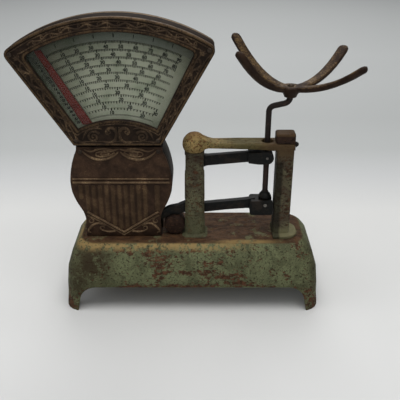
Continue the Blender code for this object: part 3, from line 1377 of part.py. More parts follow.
def movement_frame(stand, base):
    foot_half = housing_bolt_offset() - HOUSING_PAD[0] - FRAME_FOOT_CLEAR
    foot_low = (HOUSING_X - foot_half, FRAME_FRONT_Y, PLATE_Z + GAP)
    foot_high = (HOUSING_X + foot_half, FRAME_REAR_Y + FRAME_PLATE, PLATE_Z + GAP + FRAME_FOOT_HEIGHT)
    frame = solid("movement_frame", block(foot_low, foot_high), "black_iron", stand)
    for name, y in (("front", FRAME_FRONT_Y), ("rear", FRAME_REAR_Y)):
        join(frame, prism(upright_plate(), y + GAP, y + FRAME_PLATE - GAP))
        cut(frame, shaft_line(y - OVERRUN, y + OVERRUN, BUSHING_RADIUS + GAP))
        tube = shaft_line(y - BUSHING_LIP, y + FRAME_PLATE + BUSHING_LIP, BUSHING_RADIUS)
        bushing = solid(f"{name}_bushing", tube, "brass", stand)
        cut(bushing, shaft_line(y - OVERRUN, y + OVERRUN, SHAFT_RADIUS + GAP))
    bolt_y = FRAME_FRONT_Y + FRAME_PLATE + FRAME_SPACE / 2
    base_bolt("frame_bolt", base, HOUSING_X + foot_half * 0.75, bolt_y, FRAME_BOLT_DEPTH, frame)


def indicator_shaft(pointer_axis):
    start = POINTER_Y - POINTER_HUB[1] / 2
    solid("indicator_shaft", shaft_line(start, start + SHAFT_BEHIND, SHAFT_RADIUS), "steel", pointer_axis)


# Dash pot under the plate, which steadies the beam
POT_RADIUS = 15.5 * MM
POT_WALL = 2 * MM
POT_HEIGHT = 44 * MM
LID_RADIUS = 17.8 * MM
LID_THICKNESS = 3 * MM
PISTON_CLEAR = 0.8 * MM
PISTON_THICKNESS = 4 * MM
PISTON_RISE = 6 * MM
PLUNGER_ROD = 1.8 * MM
PLUNGER_CLEAR = 1.2 * MM
YOKE_EYE = (6 * MM, 6 * MM, 3 * MM)
YOKE_SLIP = 2.2 * MM
PLUNGER_Y = LINKAGE_Y - BEAM_WIDTH / 2 - GAP - YOKE_EYE[2] / 2


def dash_pot(stand, base, plunger_axis):
    x, y = LINK_PIN_X, PLUNGER_Y
    under = PLATE_Z - BASE_WALL
    lid_low = under - GAP - LID_THICKNESS
    lid_body = rod(LID_RADIUS, (x, y, lid_low), (x, y, under - GAP), 28)
    lid = solid("dashpot_lid", lid_body, "black_iron", stand)
    top = lid_low - GAP
    bottom = top - POT_HEIGHT
    inner = POT_RADIUS - POT_WALL
    pot = solid("dashpot_cylinder", rod(POT_RADIUS, (x, y, bottom), (x, y, top), 28), "brass", stand)
    cut(pot, rod(inner, (x, y, bottom + POT_WALL), (x, y, top + OVERRUN), 28))
    rod_hole = PLUNGER_ROD + PLUNGER_CLEAR
    for piece in (base, lid):
        cut(piece, rod(rod_hole, (x, y, lid_low - OVERRUN), (x, y, PLATE_Z + OVERRUN), 12))
    piston_z = bottom + POT_WALL + PISTON_RISE
    piston_top = piston_z + PISTON_THICKNESS
    piston_body = rod(inner - PISTON_CLEAR, (x, y, piston_z), (x, y, piston_top), 24)
    piston = solid("dashpot_piston", piston_body, "brass", plunger_axis)
    cut(piston, rod(PLUNGER_ROD + GAP, (x, y, piston_z - OVERRUN), (x, y, piston_top + OVERRUN), 12))
    half_x, half_z, thickness = YOKE_EYE
    body = rod(PLUNGER_ROD, (x, y, piston_z - GAP), (x, y, LINK_PIN_Z - half_z * 0.9), 12)
    plunger = solid("dashpot_rod", body, "steel", plunger_axis)
    low = (x - half_x, y - thickness / 2, LINK_PIN_Z - half_z)
    join(plunger, block(low, (x + half_x, y + thickness / 2, LINK_PIN_Z + half_z)))
    slot = LINK_PIN_RADIUS + GAP
    reach = thickness / 2 + OVERRUN
    outline = rounded_box(x - slot - YOKE_SLIP, x + slot, LINK_PIN_Z - slot, LINK_PIN_Z + slot, slot * 0.98)
    cut(plunger, prism(outline, y - reach, y + reach))


def link_pin(beam_axis):
    """The pin at the beam's far end, shared by the draw link behind and the plunger in front."""
    front = PLUNGER_Y - YOKE_EYE[2] / 2 - BEARING_CLEAR
    back = DRAW_FRONT_Y + DRAW_THICKNESS
    body = rod(LINK_PIN_RADIUS, (LINK_PIN_X, front, LINK_PIN_Z), (LINK_PIN_X, back, LINK_PIN_Z))
    solid("link_pin", body, "steel", beam_axis)


def scale_centre():
    """Middle of the scale's outer box in plan, seen from the middle of the base."""
    corner = side_meets_circle(FAN_SIDES[-1], FAN_CORNER, FAN_RADIUS - FAN_CORNER)
    left = HOUSING_X - corner.x - FAN_CORNER
    right = PAN_X + RIGHT_REACH + SPIDER_ARM_TIP
    front = LINKAGE_Y - RIGHT_SPREAD - SPIDER_ARM_TIP
    return Vector(((left + right) / 2, (front + BASE_DEPTH / 2) / 2, 0))


def main():
    clear_scene()
    scale = pivot("scale", (0, 0, 0))
    scale.location = -scale_centre()
    beam_axis = pivot("beam_axis", (POST_X, LINKAGE_Y, FULCRUM_Z), scale)
    check_axis = pivot("check_link_axis", (POST_X, LINKAGE_Y, CHECK_Z), scale)
    stem_axis = pivot("stem_axis", (LOAD_X, LINKAGE_Y, LOAD_Z), beam_axis)
    pointer_axis = pivot("pointer_axis", (HOUSING_X, LINKAGE_Y, SHAFT_Z), scale)
    draw_axis = pivot("draw_link_axis", (LINK_PIN_X, LINKAGE_Y, LINK_PIN_Z), beam_axis)
    plunger_axis = pivot("plunger_axis", (LINK_PIN_X, PLUNGER_Y, PLATE_Z), scale)

    base = base_casting(scale)
    post = middle_post(scale, base)
    frame = top_frame(scale, base)
    arm_screw(scale, post, frame)
    post_cap(scale)
    side_screw(scale, frame)
    fulcrum(scale, beam_axis)
    beam = main_beam(beam_axis)
    counterweight(beam, beam_axis)
    link_pin(beam_axis)
    check_link(scale, check_axis)
    pan_stem(stem_axis)
    stem_yoke(stem_axis)
    pan_spider(stem_axis)
    housing(scale, base)
    case = fan_case(scale)
    fan_bezel(scale, case)
    fan_window(scale)
    fan_back(scale, case)
    indicator(pointer_axis)
    indicator_shaft(pointer_axis)
    crank_arm(pointer_axis)
    pendulum(pointer_axis)
    movement_frame(scale, base)
    draw_link(draw_axis)
    dash_pot(scale, base, plunger_axis)


main()
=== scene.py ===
"""Old counter scale with a fan dial, dressed and lit for a photograph."""
import json
import math
import random

import bpy
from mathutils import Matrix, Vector

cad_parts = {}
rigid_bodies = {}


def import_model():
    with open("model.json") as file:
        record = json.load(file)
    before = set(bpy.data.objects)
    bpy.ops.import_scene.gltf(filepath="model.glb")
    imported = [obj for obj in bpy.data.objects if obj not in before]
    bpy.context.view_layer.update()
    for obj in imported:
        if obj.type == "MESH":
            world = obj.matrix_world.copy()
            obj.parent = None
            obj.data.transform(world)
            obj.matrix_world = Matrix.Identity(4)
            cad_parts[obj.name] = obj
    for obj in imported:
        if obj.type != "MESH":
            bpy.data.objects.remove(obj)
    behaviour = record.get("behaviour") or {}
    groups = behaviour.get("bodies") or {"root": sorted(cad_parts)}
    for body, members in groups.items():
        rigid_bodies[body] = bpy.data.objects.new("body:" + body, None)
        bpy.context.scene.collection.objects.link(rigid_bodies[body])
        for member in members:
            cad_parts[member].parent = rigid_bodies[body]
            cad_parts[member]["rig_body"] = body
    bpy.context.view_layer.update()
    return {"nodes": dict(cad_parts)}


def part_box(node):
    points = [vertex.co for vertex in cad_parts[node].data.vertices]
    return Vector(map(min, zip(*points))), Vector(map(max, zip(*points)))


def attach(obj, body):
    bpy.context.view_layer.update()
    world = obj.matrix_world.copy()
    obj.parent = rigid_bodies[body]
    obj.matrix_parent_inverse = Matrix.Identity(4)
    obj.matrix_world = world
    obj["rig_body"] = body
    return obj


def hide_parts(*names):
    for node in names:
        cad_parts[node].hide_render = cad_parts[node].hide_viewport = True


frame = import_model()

bpy.ops.object.select_all(action="DESELECT")


# The photograph's camera stands a little right of the scale's middle, above it and looking down.
# The colour settings stay plain, so that a finish looks as its colour is written.
CAMERA_PLACE = (0.0232, -0.8555, 0.5799)
CAMERA_DROP = math.radians(26.4)
CAMERA_LENS = 55.8

bpy.ops.object.camera_add(location=CAMERA_PLACE, rotation=(math.pi / 2 - CAMERA_DROP, 0, 0))
camera = bpy.context.object
camera.data.lens = CAMERA_LENS
bpy.context.scene.camera = camera
bpy.context.scene.view_settings.view_transform = "Standard"


# The studio is one wide sheet of pale paper under soft lamps. Behind the scale the paper's colour
# falls into a cooler grey, a painted shade, and clears again far away.
PAPER_HALF = 6
PAPER_ROUGHNESS = 0.9
DULL_SHEEN = 0.08
# Each stop is a share of the way from the near to the far reach, and the paper's colour there, with its
# painted shade
PAPER_REACH = (-0.4, 1.6)
PAPER_SHADE_STOPS = (
    (0.0, (206, 206, 205)),
    (0.33, (210, 210, 208)),
    (0.42, (196, 197, 197)),
    (0.50, (184, 186, 185)),
    (0.62, (184, 186, 185)),
    (0.80, (196, 198, 197)),
    (1.0, (203, 205, 204)),
)
# Each lamp has its name, place, size in metres and power in watts
LAMPS = (
    ("lamp_top", (0.1, -0.25, 1.7), 1.4, 24),
    ("lamp_front", (0.15, -1.5, 1.1), 1.2, 4.5),
    ("lamp_left", (-1.5, -0.3, 1.2), 1.1, 5.5),
    ("lamp_back", (0.1, 2.6, 2.6), 2.4, 48),
)
LAMPS_AIM = (0, 0, 0.15)
AIR_COLOUR = (230, 233, 236)
AIR_STRENGTH = 0.22


def colour(shade):
    """A colour as a screen shows it, from 0 to 255, in the linear values that a socket takes."""
    shares = [part / 255 for part in shade]
    return (*[c / 12.92 if c < 0.04 else ((c + 0.055) / 1.055) ** 2.4 for c in shares], 1)


def material_with(name, roughness, metallic=0.0, sheen=DULL_SHEEN):
    """A new material, its node tree and its shader, with the values that are the same all over."""
    made = bpy.data.materials.new(name)
    made.use_nodes = True
    shader = made.node_tree.nodes["Principled BSDF"]
    shader.inputs["Roughness"].default_value = roughness
    shader.inputs["Metallic"].default_value = metallic
    shader.inputs["Specular IOR Level"].default_value = sheen
    return made, made.node_tree, shader


def feed(socket, value):
    """Joins a socket to another node's output, or sets its value, a colour as a screen shows it."""
    if isinstance(value, bpy.types.NodeSocket):
        socket.id_data.links.new(value, socket)
    elif socket.type == "RGBA":
        socket.default_value = colour(value)
    else:
        socket.default_value = value


def object_place(tree):
    return tree.nodes.new("ShaderNodeTexCoord").outputs["Object"]


def axes_of(tree, vector, *axes):
    """The parts of a vector along these axes, or the one part if only one axis is named."""
    node = tree.nodes.new("ShaderNodeSeparateXYZ")
    feed(node.inputs["Vector"], vector)
    parts = [node.outputs[axis] for axis in axes]
    return parts if len(parts) > 1 else parts[0]


def band(tree, value, low, high, smooth=True):
    """0 below low, 1 above high, and a soft step between them."""
    node = tree.nodes.new("ShaderNodeMapRange")
    node.interpolation_type = "SMOOTHSTEP" if smooth else "LINEAR"
    feed(node.inputs["Value"], value)
    feed(node.inputs["From Min"], low)
    feed(node.inputs["From Max"], high)
    return node.outputs["Result"]


bpy.ops.mesh.primitive_plane_add(size=2 * PAPER_HALF)
paper = bpy.context.object
paper.name = "paper_sheet"
paper_finish, tree, shader = material_with("studio_paper", PAPER_ROUGHNESS)
# The ramp paints shade into the paper: a darker grey band behind the scale
ramp = tree.nodes.new("ShaderNodeValToRGB")
way_back = axes_of(tree, object_place(tree), "Y")
feed(ramp.inputs["Fac"], band(tree, way_back, *PAPER_REACH, False))
stops = ramp.color_ramp.elements
while len(stops) < len(PAPER_SHADE_STOPS):
    stops.new(1)
for stop, (place, shade) in zip(stops, PAPER_SHADE_STOPS):
    stop.position = place
    stop.color = colour(shade)
feed(shader.inputs["Base Color"], ramp.outputs["Color"])
paper.data.materials.append(paper_finish)

for name, place, size, power in LAMPS:
    bpy.ops.object.light_add(type="AREA", location=place)
    lamp = bpy.context.object
    lamp.name = name
    lamp.data.size = size
    lamp.data.energy = power
    lamp.rotation_euler = (Vector(LAMPS_AIM) - lamp.location).to_track_quat("-Z", "Y").to_euler()

world = bpy.data.worlds.new("studio_air")
world.use_nodes = True
air = world.node_tree.nodes["Background"]
air.inputs["Color"].default_value = colour(AIR_COLOUR)
air.inputs["Strength"].default_value = AIR_STRENGTH
bpy.context.scene.world = world


# The base is one hollow iron casting: a flat plate on sloping skirts, with four splayed feet.
# It was dipped in sage green paint, which has flaked and worn down to brown rust.
MM = 0.001
BASE_EDGE = 1.6 * MM
# Each coat of paint has its colour, the colour where it faded, the rust and the dark rust
SAGE_COAT = ((101, 105, 76), (78, 80, 57), (90, 62, 45), (54, 38, 29))
PAINT_GRIME = (44, 42, 30)
PINHOLE_DARK = (34, 28, 20)
PLATE_BROWNS = ((80, 57, 38), (52, 36, 25), (64, 50, 36))
PLATE_TAN = (146, 122, 78)
SKIRT_END_DARK = (44, 31, 20)
FLAKE_DRAW = (0.66, 1, 1.1)
STREAK_DRAW = (0.62, 1.15, 1)
SKIRT_DEPTH = -0.07
# Where each of these begins and is full, in depth, in height or across, in metres
FRONT_DEPTH = (-0.03, -0.05)
SKIRT_FOOT = (0.046, 0.036)
PLATE_HEIGHT = (0.1045, 0.1062)
RIM_HEIGHT = (0.093, 0.103)
RIM_ACROSS = (0.13, 0.03)
# A patch fades out between these shares of its half size. Each patch of rust is its middle and
# its half sizes on the front skirt, across from the base's middle and up, in millimetres, and
# how strong it is
PATCH_FADE = (1.5, 0.3)
SKIRT_RUST = (
    ((-45, 80), (24, 17), 0.80), ((-52, 62), (9, 20), 0.95), ((-20, 66), (26, 5), 1.0),
    ((17, 66), (22, 5), 0.9), ((54, 60), (26, 8), 1.0), ((-83, 43), (24, 5), 0.9),
    ((-28, 42), (40, 5), 1.0), ((27, 43), (26, 5), 1.0), ((70, 47), (30, 6), 0.95),
    ((110, 44), (24, 4), 0.9), ((123, 66), (7, 6), 1.0), ((142, 62), (8, 8), 0.85),
    ((44, 82), (7, 7), 0.9), ((28, 78), (14, 5), 0.7), ((6, 96), (26, 4), 0.8),
    ((-100, 95), (22, 4), 0.8), ((-66, 92), (12, 8), 0.75), ((58, 94), (6, 5), 0.9),
    ((160, 100), (6, 16), 1.0), ((-190, 10), (15, 13), 0.8), ((190, 8), (16, 12), 0.8),
)
SKIRT_DARK_PATCHES = (((-150, 80), (30, 32), 1.0), ((-172, 56), (22, 34), 0.8), ((186, 84), (10, 30), 0.6))
# On the plate the same is across and back
PLATE_TANS = (((-110, -64), (72, 16), 1.0), ((4, -58), (34, 9), 1.0), ((82, -44), (44, 6), 0.8))

nodes = frame["nodes"]
base_middle = sum(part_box("base_casting"), Vector()) / 2


def maths(tree, operation, first, second):
    node = tree.nodes.new("ShaderNodeMath")
    node.operation = operation
    feed(node.inputs[0], first)
    feed(node.inputs[1], second)
    return node.outputs["Value"]


def times(tree, first, second):
    return maths(tree, "MULTIPLY", first, second)


def plus(tree, first, second):
    return maths(tree, "ADD", first, second)


def less(tree, first, second):
    return maths(tree, "SUBTRACT", first, second)


def vector_maths(tree, operation, first, second=(0, 0, 0), result="Value"):
    node = tree.nodes.new("ShaderNodeVectorMath")
    node.operation = operation
    feed(node.inputs[0], first)
    feed(node.inputs[1], second)
    return node.outputs[result]


def noise_at(tree, place, scale, detail=4, rough=0.6, distort=0.0):
    """A soft random value about one half, on the given coordinates."""
    node = tree.nodes.new("ShaderNodeTexNoise")
    feed(node.inputs["Vector"], place)
    feed(node.inputs["Scale"], scale)
    node.inputs["Detail"].default_value = detail
    node.inputs["Roughness"].default_value = rough
    node.inputs["Distortion"].default_value = distort
    return node.outputs["Fac"]


def speckled(tree, place, scale, low, high, detail=5, rough=0.7):
    """Random soft patches: a noise of this scale, 0 below low and 1 above high."""
    return band(tree, noise_at(tree, place, scale, detail, rough), low, high)


def blend(tree, share, first, second, most=1):
    """The first colour with the second laid over it by a share, of which it takes this much at most."""
    node = tree.nodes.new("ShaderNodeMix")
    node.data_type = "RGBA"
    feed(node.inputs["Factor"], share if most == 1 else times(tree, share, most))
    feed(node.inputs["A"], first)
    feed(node.inputs["B"], second)
    return node.outputs["Result"]


def drawn_out(tree, place, scale):
    """Coordinates on which a pattern is longer along an axis where the scale is less than 1."""
    node = tree.nodes.new("ShaderNodeMapping")
    node.inputs["Scale"].default_value = scale
    feed(node.inputs["Vector"], place)
    return node.outputs["Vector"]


def group_with(name, colours, value, results):
    """A node group that takes these colours and a value, and gives a colour and these results."""
    tree = bpy.data.node_groups.new(name, "ShaderNodeTree")
    for direction, colour_titles, titles in (("INPUT", colours, [value]), ("OUTPUT", ["Color"], results)):
        for title in colour_titles:
            tree.interface.new_socket(title, in_out=direction, socket_type="NodeSocketColor")
        for title in titles:
            tree.interface.new_socket(title, in_out=direction, socket_type="NodeSocketFloat")
    return tree, tree.nodes.new("NodeGroupInput").outputs, tree.nodes.new("NodeGroupOutput").inputs


def use_group(tree, group, **values):
    node = tree.nodes.new("ShaderNodeGroup")
    node.node_tree = group
    for title, value in values.items():
        feed(node.inputs[title], value)
    return node.outputs


def patches(tree, place, spots, upright):
    """How much a place lies in any of these soft ovals, on the front skirt or on the level plate."""
    total = 0.0
    for (across, along), (half_across, half_along), strength in spots:
        node = tree.nodes.new("ShaderNodeMapping")
        node.vector_type = "TEXTURE"
        feed(node.inputs["Vector"], place)
        x, half_x = base_middle.x + across * MM, half_across * MM
        if upright:
            feed(node.inputs["Location"], (x, SKIRT_DEPTH, along * MM))
            feed(node.inputs["Scale"], (half_x, 0.1, half_along * MM))
        else:
            feed(node.inputs["Location"], (x, along * MM, 0))
            feed(node.inputs["Scale"], (half_x, half_along * MM, 10))
        far = vector_maths(tree, "LENGTH", node.outputs["Vector"])
        total = maths(tree, "MAXIMUM", times(tree, band(tree, far, *PATCH_FADE), strength), total)
    return total


def rough_skin(shader, height, strength, depth):
    """The fine relief of a surface, felt through its height."""
    node = shader.id_data.nodes.new("ShaderNodeBump")
    node.inputs["Strength"].default_value = strength
    node.inputs["Distance"].default_value = depth
    feed(node.inputs["Height"], height)
    feed(shader.inputs["Normal"], node.outputs["Normal"])


flaked_paint, given, made = group_with(
    "flaked_paint", ("Paint", "Faded", "Rust", "Dark"), "Wear", ("Roughness", "Height")
)
tree = flaked_paint
spot = object_place(tree)
flakes = drawn_out(tree, spot, FLAKE_DRAW)
wide = noise_at(tree, spot, 34, 3)
middle = noise_at(tree, flakes, 230, 4, 0.6)
fine = noise_at(tree, flakes, 620, 3)
mass = plus(tree, times(tree, wide, 0.35), times(tree, middle, 0.85))
mass = plus(tree, mass, times(tree, fine, 0.35))
mass = plus(tree, mass, times(tree, given["Wear"], 0.16))
bare = band(tree, mass, 0.890, 0.905)
worn_rim = band(tree, mass, 0.835, 0.885)
faded = band(tree, noise_at(tree, spot, 38, 5, 0.65, 0.6), 0.40, 0.62)
coat = blend(tree, faded, given["Paint"], given["Faded"])
coat = blend(tree, worn_rim, coat, given["Dark"], 0.4)
coat = blend(tree, band(tree, fine, 0.50, 0.66), coat, PAINT_GRIME, 0.4)
coat = blend(tree, speckled(tree, spot, 330, 0.55, 0.61, 4), coat, PINHOLE_DARK, 0.8)
metal = blend(tree, speckled(tree, spot, 160, 0.38, 0.62), given["Rust"], given["Dark"])
feed(made["Color"], blend(tree, bare, coat, metal))
feed(made["Roughness"], plus(tree, 0.62, times(tree, bare, 0.24)))
grain = times(tree, noise_at(tree, spot, 900, 3), 0.5)
feed(made["Height"], plus(tree, times(tree, less(tree, 1.0, bare), 0.7), grain))


def painted(tree, coat, wear):
    paint, faded, rust, dark = coat
    return use_group(tree, flaked_paint, Paint=paint, Faded=faded, Rust=rust, Dark=dark, Wear=wear)


def lay_on(shader, shade, coat, strength=0.5, depth=0.5 * MM):
    """Gives a finish its colour, and the roughness and the fine relief of its coat."""
    feed(shader.inputs["Base Color"], shade)
    feed(shader.inputs["Roughness"], coat["Roughness"])
    rough_skin(shader, coat["Height"], strength, depth)


def select_only(*pieces):
    """Selects these pieces and nothing else, with the first of them active."""
    bpy.ops.object.select_all(action="DESELECT")
    for piece in pieces:
        piece.select_set(True)
    bpy.context.view_layer.objects.active = pieces[0]


def softened(node, finish, width, angle=36, segments=2):
    """A copy of a CAD node with rounded edges, as a casting has, which stands for the node."""
    cast = bpy.data.objects.new(f"{node}_cast", nodes[node].data.copy())
    bpy.context.collection.objects.link(cast)
    cast.data.materials.clear()
    cast.data.materials.append(finish)
    select_only(cast)
    bpy.ops.mesh.customdata_custom_splitnormals_clear()
    bpy.ops.object.mode_set(mode="EDIT")
    bpy.ops.mesh.select_all(action="SELECT")
    bpy.ops.mesh.remove_doubles(threshold=0.01 * MM)
    bpy.ops.mesh.dissolve_limited(angle_limit=math.radians(1))
    bpy.ops.object.mode_set(mode="OBJECT")
    bevel = cast.modifiers.new("rounded_edges", "BEVEL")
    bevel.width = width
    bevel.segments = segments
    bevel.limit_method = "ANGLE"
    bevel.angle_limit = math.radians(angle)
    bevel.harden_normals = False
    bpy.ops.object.modifier_apply(modifier=bevel.name)
    bpy.ops.object.shade_smooth_by_angle(angle=math.radians(34))
    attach(cast, nodes[node]["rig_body"])
    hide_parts(node)
    return cast


base_finish, tree, shader = material_with("sage_paint_on_iron", 0.6)
spot = object_place(tree)
across, deep, up = axes_of(tree, spot, "X", "Y", "Z")
rusty = times(tree, patches(tree, spot, SKIRT_RUST, True), band(tree, deep, *FRONT_DEPTH))
low_edge = times(tree, band(tree, up, *SKIRT_FOOT), 0.35)
plate = band(tree, up, *PLATE_HEIGHT)
wear = plus(tree, plus(tree, rusty, low_edge), times(tree, plate, 0.42))
coated = painted(tree, SAGE_COAT, wear)
# The skirt is darker in broad soft patches towards its ends
darker_ends = times(tree, patches(tree, spot, SKIRT_DARK_PATCHES, True), speckled(tree, spot, 60, 0.34, 0.50))
skirt = blend(tree, darker_ends, coated["Color"], SKIRT_END_DARK, 0.85)
rim = times(tree, band(tree, up, *RIM_HEIGHT), speckled(tree, spot, 120, 0.42, 0.53, rough=0.75))
rim = times(tree, rim, band(tree, across, *RIM_ACROSS))
skirt = blend(tree, rim, skirt, PLATE_TAN, 0.85)
streaks = speckled(tree, drawn_out(tree, spot, STREAK_DRAW), 110, 0.38, 0.62)
browned = blend(tree, streaks, PLATE_BROWNS[0], PLATE_BROWNS[1])
mottle = speckled(tree, spot, 260, 0.44, 0.60, rough=0.75)
browned = blend(tree, mottle, browned, PLATE_BROWNS[2], 0.45)
tanned = times(tree, patches(tree, spot, PLATE_TANS, False), speckled(tree, spot, 75, 0.30, 0.52))
browned = blend(tree, tanned, browned, PLATE_TAN, 0.9)
green_left = speckled(tree, spot, 34, 0.56, 0.66)
browned = blend(tree, green_left, browned, SAGE_COAT[0], 0.6)
lay_on(shader, blend(tree, plate, skirt, browned), coated)
softened("base_casting", base_finish, BASE_EDGE, 30, 3)


# The middle post is cast with the slot that holds both levers, and bolted on through its foot.
# Its green paint is browned by handling towards the top and cleaner near the plate.
POST_COAT = ((92, 90, 68), (68, 62, 48), (84, 58, 41), (38, 28, 22))
POST_FOOT_GREEN = (78, 80, 57)
POST_TOP_BROWN = (42, 32, 26)
POST_FOOT = (0.185, 0.12)
POST_TOP = (0.20, 0.245)
POST_EDGE = 1.2 * MM

post_finish, tree, shader = material_with("browned_green_paint", 0.6)
spot = object_place(tree)
up = axes_of(tree, spot, "Z")
coated = painted(tree, POST_COAT, 0.30)
low_down = plus(tree, band(tree, up, *POST_FOOT), less(tree, noise_at(tree, spot, 70), 0.5))
shade = blend(tree, low_down, coated["Color"], POST_FOOT_GREEN, 0.5)
shade = blend(tree, band(tree, up, *POST_TOP), shade, POST_TOP_BROWN, 0.68)
lay_on(shader, shade, coated)
softened("middle_post", post_finish, POST_EDGE)


# The top frame is a second casting: a ball over the post, an arm, and a column down to a flange.
# The ball and arm are rubbed to a tan olive with brown on top, and the column stays green-brown.
ARM_COAT = ((144, 122, 78), (114, 100, 64), (108, 74, 46), (66, 48, 31))
COLUMN_COAT = ((90, 86, 65), (72, 63, 50), (76, 54, 39), (42, 32, 25))
ARM_OLIVE = (66, 62, 39)
CROWN_BROWN = (104, 66, 38)
ARM_END_BROWN = (72, 52, 38)
FLANGE_GREEN = (112, 109, 80)
COLUMN_PAINTED_SHADE = (24, 24, 19)
# Where each of these begins and is full, across or in height, in metres
ARM_ACROSS = (0.033, 0.078)
CROWN_HEIGHT = (0.262, 0.272)
CROWN_ACROSS = (0.053, 0.023)
ARM_END_ACROSS = (0.098, 0.128)
COLUMN_HEIGHT = (0.246, 0.228)
FLANGE_HEIGHT = (0.125, 0.116)
INNER_SIDE_ACROSS = (0.146, 0.142)
INNER_SIDE_HEIGHT = (0.235, 0.225)
FRAME_EDGE = 1.2 * MM

frame_finish, tree, shader = material_with("rubbed_olive_paint", 0.6)
across, up = axes_of(tree, object_place(tree), "X", "Z")
coated = painted(tree, ARM_COAT, 0.40)
column = painted(tree, COLUMN_COAT, 0.34)
arm = blend(tree, band(tree, across, *ARM_ACROSS), coated["Color"], ARM_OLIVE, 0.8)
crown = times(tree, band(tree, up, *CROWN_HEIGHT), band(tree, across, *CROWN_ACROSS))
arm = blend(tree, crown, arm, CROWN_BROWN, 0.55)
arm = blend(tree, band(tree, across, *ARM_END_ACROSS), arm, ARM_END_BROWN, 0.65)
shade = blend(tree, band(tree, up, *COLUMN_HEIGHT), arm, column["Color"])
shade = blend(tree, band(tree, up, *FLANGE_HEIGHT), shade, FLANGE_GREEN, 0.75)
# Painted shade: the column's inner side, which faces away from the lamps, is darkened almost to black
inner_side_shade = times(tree, band(tree, across, *INNER_SIDE_ACROSS), band(tree, up, *INNER_SIDE_HEIGHT))
shade = blend(tree, inner_side_shade, shade, COLUMN_PAINTED_SHADE, 0.75)
lay_on(shader, shade, coated)
softened("top_frame", frame_finish, FRAME_EDGE)


# The cap is a small rusty block screwed down on the arm's end, tan on top from rubbing.
# The drum under the beam's elbow is the counterweight, cast and left to rust.
RUSTY_COAT = ((38, 25, 21), (50, 35, 28), (66, 47, 35), (29, 22, 19))
CAP_TAN = (78, 60, 40)
CAP_TOP = (0.2675, 0.2700)
CAP_EDGE = 1.4 * MM
DRUM_EDGE = 1.2 * MM

cap_finish, tree, shader = material_with("bare_rusty_iron", 0.7)
spot = object_place(tree)
coated = painted(tree, RUSTY_COAT, 0.5)
top = band(tree, axes_of(tree, spot, "Z"), *CAP_TOP)
top_rub = times(tree, top, speckled(tree, spot, 90, 0.30, 0.5, 4, 0.6))
shade = blend(tree, top_rub, coated["Color"], CAP_TAN, 0.7)
lay_on(shader, shade, coated, depth=0.4 * MM)
softened("post_cap", cap_finish, CAP_EDGE, 30, 3)
softened("counterweight", cap_finish, DRUM_EDGE)


# Both levers, the stop plate and the small brackets are plain black iron castings.
# Their japanned black is dull, dusty on top, and rubbed brown where hands and pins touch.
IRON_SHEEN = 0.19
IRON_METALLIC = 0.3
LEVER_EDGE = 1.6 * MM
# Each black iron has its black, its dust, and the brown where it is worn
LEVER_IRON = ((17, 18, 17), (38, 39, 33), (46, 37, 29))
BOLT_IRON = ((27, 25, 23), (50, 44, 37), (64, 46, 34))
PLAIN_IRON = ("stop_plate", "movement_frame", "dashpot_lid")

smoked_iron, given, made = group_with(
    "smoked_iron", ("Black", "Dust", "Brown"), "Wear", ("Roughness", "Height")
)
tree = smoked_iron
spot = object_place(tree)
cloud = noise_at(tree, spot, 46, 5, 0.65)
grit = noise_at(tree, spot, 330, 4, 0.7)
worn = band(tree, plus(tree, cloud, times(tree, grit, 0.5)), 0.72, 0.92)
worn = times(tree, worn, given["Wear"])
shade = blend(tree, worn, given["Black"], given["Brown"])
shade = blend(tree, band(tree, grit, 0.50, 0.68), shade, given["Dust"], 0.35)
feed(made["Color"], shade)
feed(made["Roughness"], plus(tree, 0.42, times(tree, grit, 0.3)))
feed(made["Height"], plus(tree, cloud, times(tree, noise_at(tree, spot, 800, 3), 0.6)))


def iron_finish(name, colours, wear):
    finish, tree, shader = material_with(name, 0.5, IRON_METALLIC, IRON_SHEEN)
    black, dust, brown = colours
    smoked = use_group(tree, smoked_iron, Black=black, Dust=dust, Brown=brown, Wear=wear)
    lay_on(shader, smoked["Color"], smoked, 0.45, 0.4 * MM)
    return finish


def paint_node(node, finish):
    for place in nodes[node].material_slots:
        place.material = finish


lever_finish = iron_finish("black_lever_iron", LEVER_IRON, 0.6)
for node in ("main_beam", "check_link"):
    softened(node, lever_finish, LEVER_EDGE, 30, 3)
bolt_finish = iron_finish("black_bolt_iron", BOLT_IRON, 0.9)
for node in sorted(nodes):
    if node in PLAIN_IRON or "bolt" in node:
        paint_node(node, bolt_finish)


# The pan stem is a bent iron rod, brown-black, in a domed yoke that rocks in the beam's fork.
# The spider that carried the pan is bronze, darkened, and brassy where the pan rubbed it.
STEM_IRON = ((36, 30, 28), (56, 46, 40), (60, 45, 37))
YOKE_EDGE = 0.8 * MM
# Each bronze has its deep colour, its common colour, and the colour where it is rubbed
SPIDER_BRONZE = ((38, 27, 21), (54, 40, 30), (104, 84, 55))
BRONZE_METALLIC = 0.4
SPIDER_EDGE = 0.5 * MM
# The arms face a middle this high over them, and are rubbed most towards the left
PAN_RISE = 40 * MM
RUB_ACROSS = (0.150, 0.096)

stem_finish = iron_finish("brown_black_stem", STEM_IRON, 0.6)
paint_node("pan_stem", stem_finish)
softened("stem_yoke", lever_finish, YOKE_EDGE)

aged_bronze, given, made = group_with(
    "aged_bronze", ("Deep", "Bronze", "Rubbed"), "Rub", ("Metal", "Roughness", "Height")
)
tree = aged_bronze
spot = object_place(tree)
cloud = noise_at(tree, spot, 60, 5, 0.65)
grit = noise_at(tree, spot, 480, 4, 0.7)
shade = blend(tree, band(tree, cloud, 0.36, 0.64), given["Deep"], given["Bronze"])
rub = plus(tree, given["Rub"], less(tree, grit, 0.5))
rub = plus(tree, rub, less(tree, cloud, 0.5))
rub = band(tree, rub, 0.42, 0.80)
feed(made["Color"], blend(tree, rub, shade, given["Rubbed"]))
feed(made["Metal"], plus(tree, 0.12, times(tree, rub, 0.35)))
feed(made["Roughness"], less(tree, 0.62, times(tree, rub, 0.18)))
feed(made["Height"], plus(tree, cloud, times(tree, grit, 0.5)))


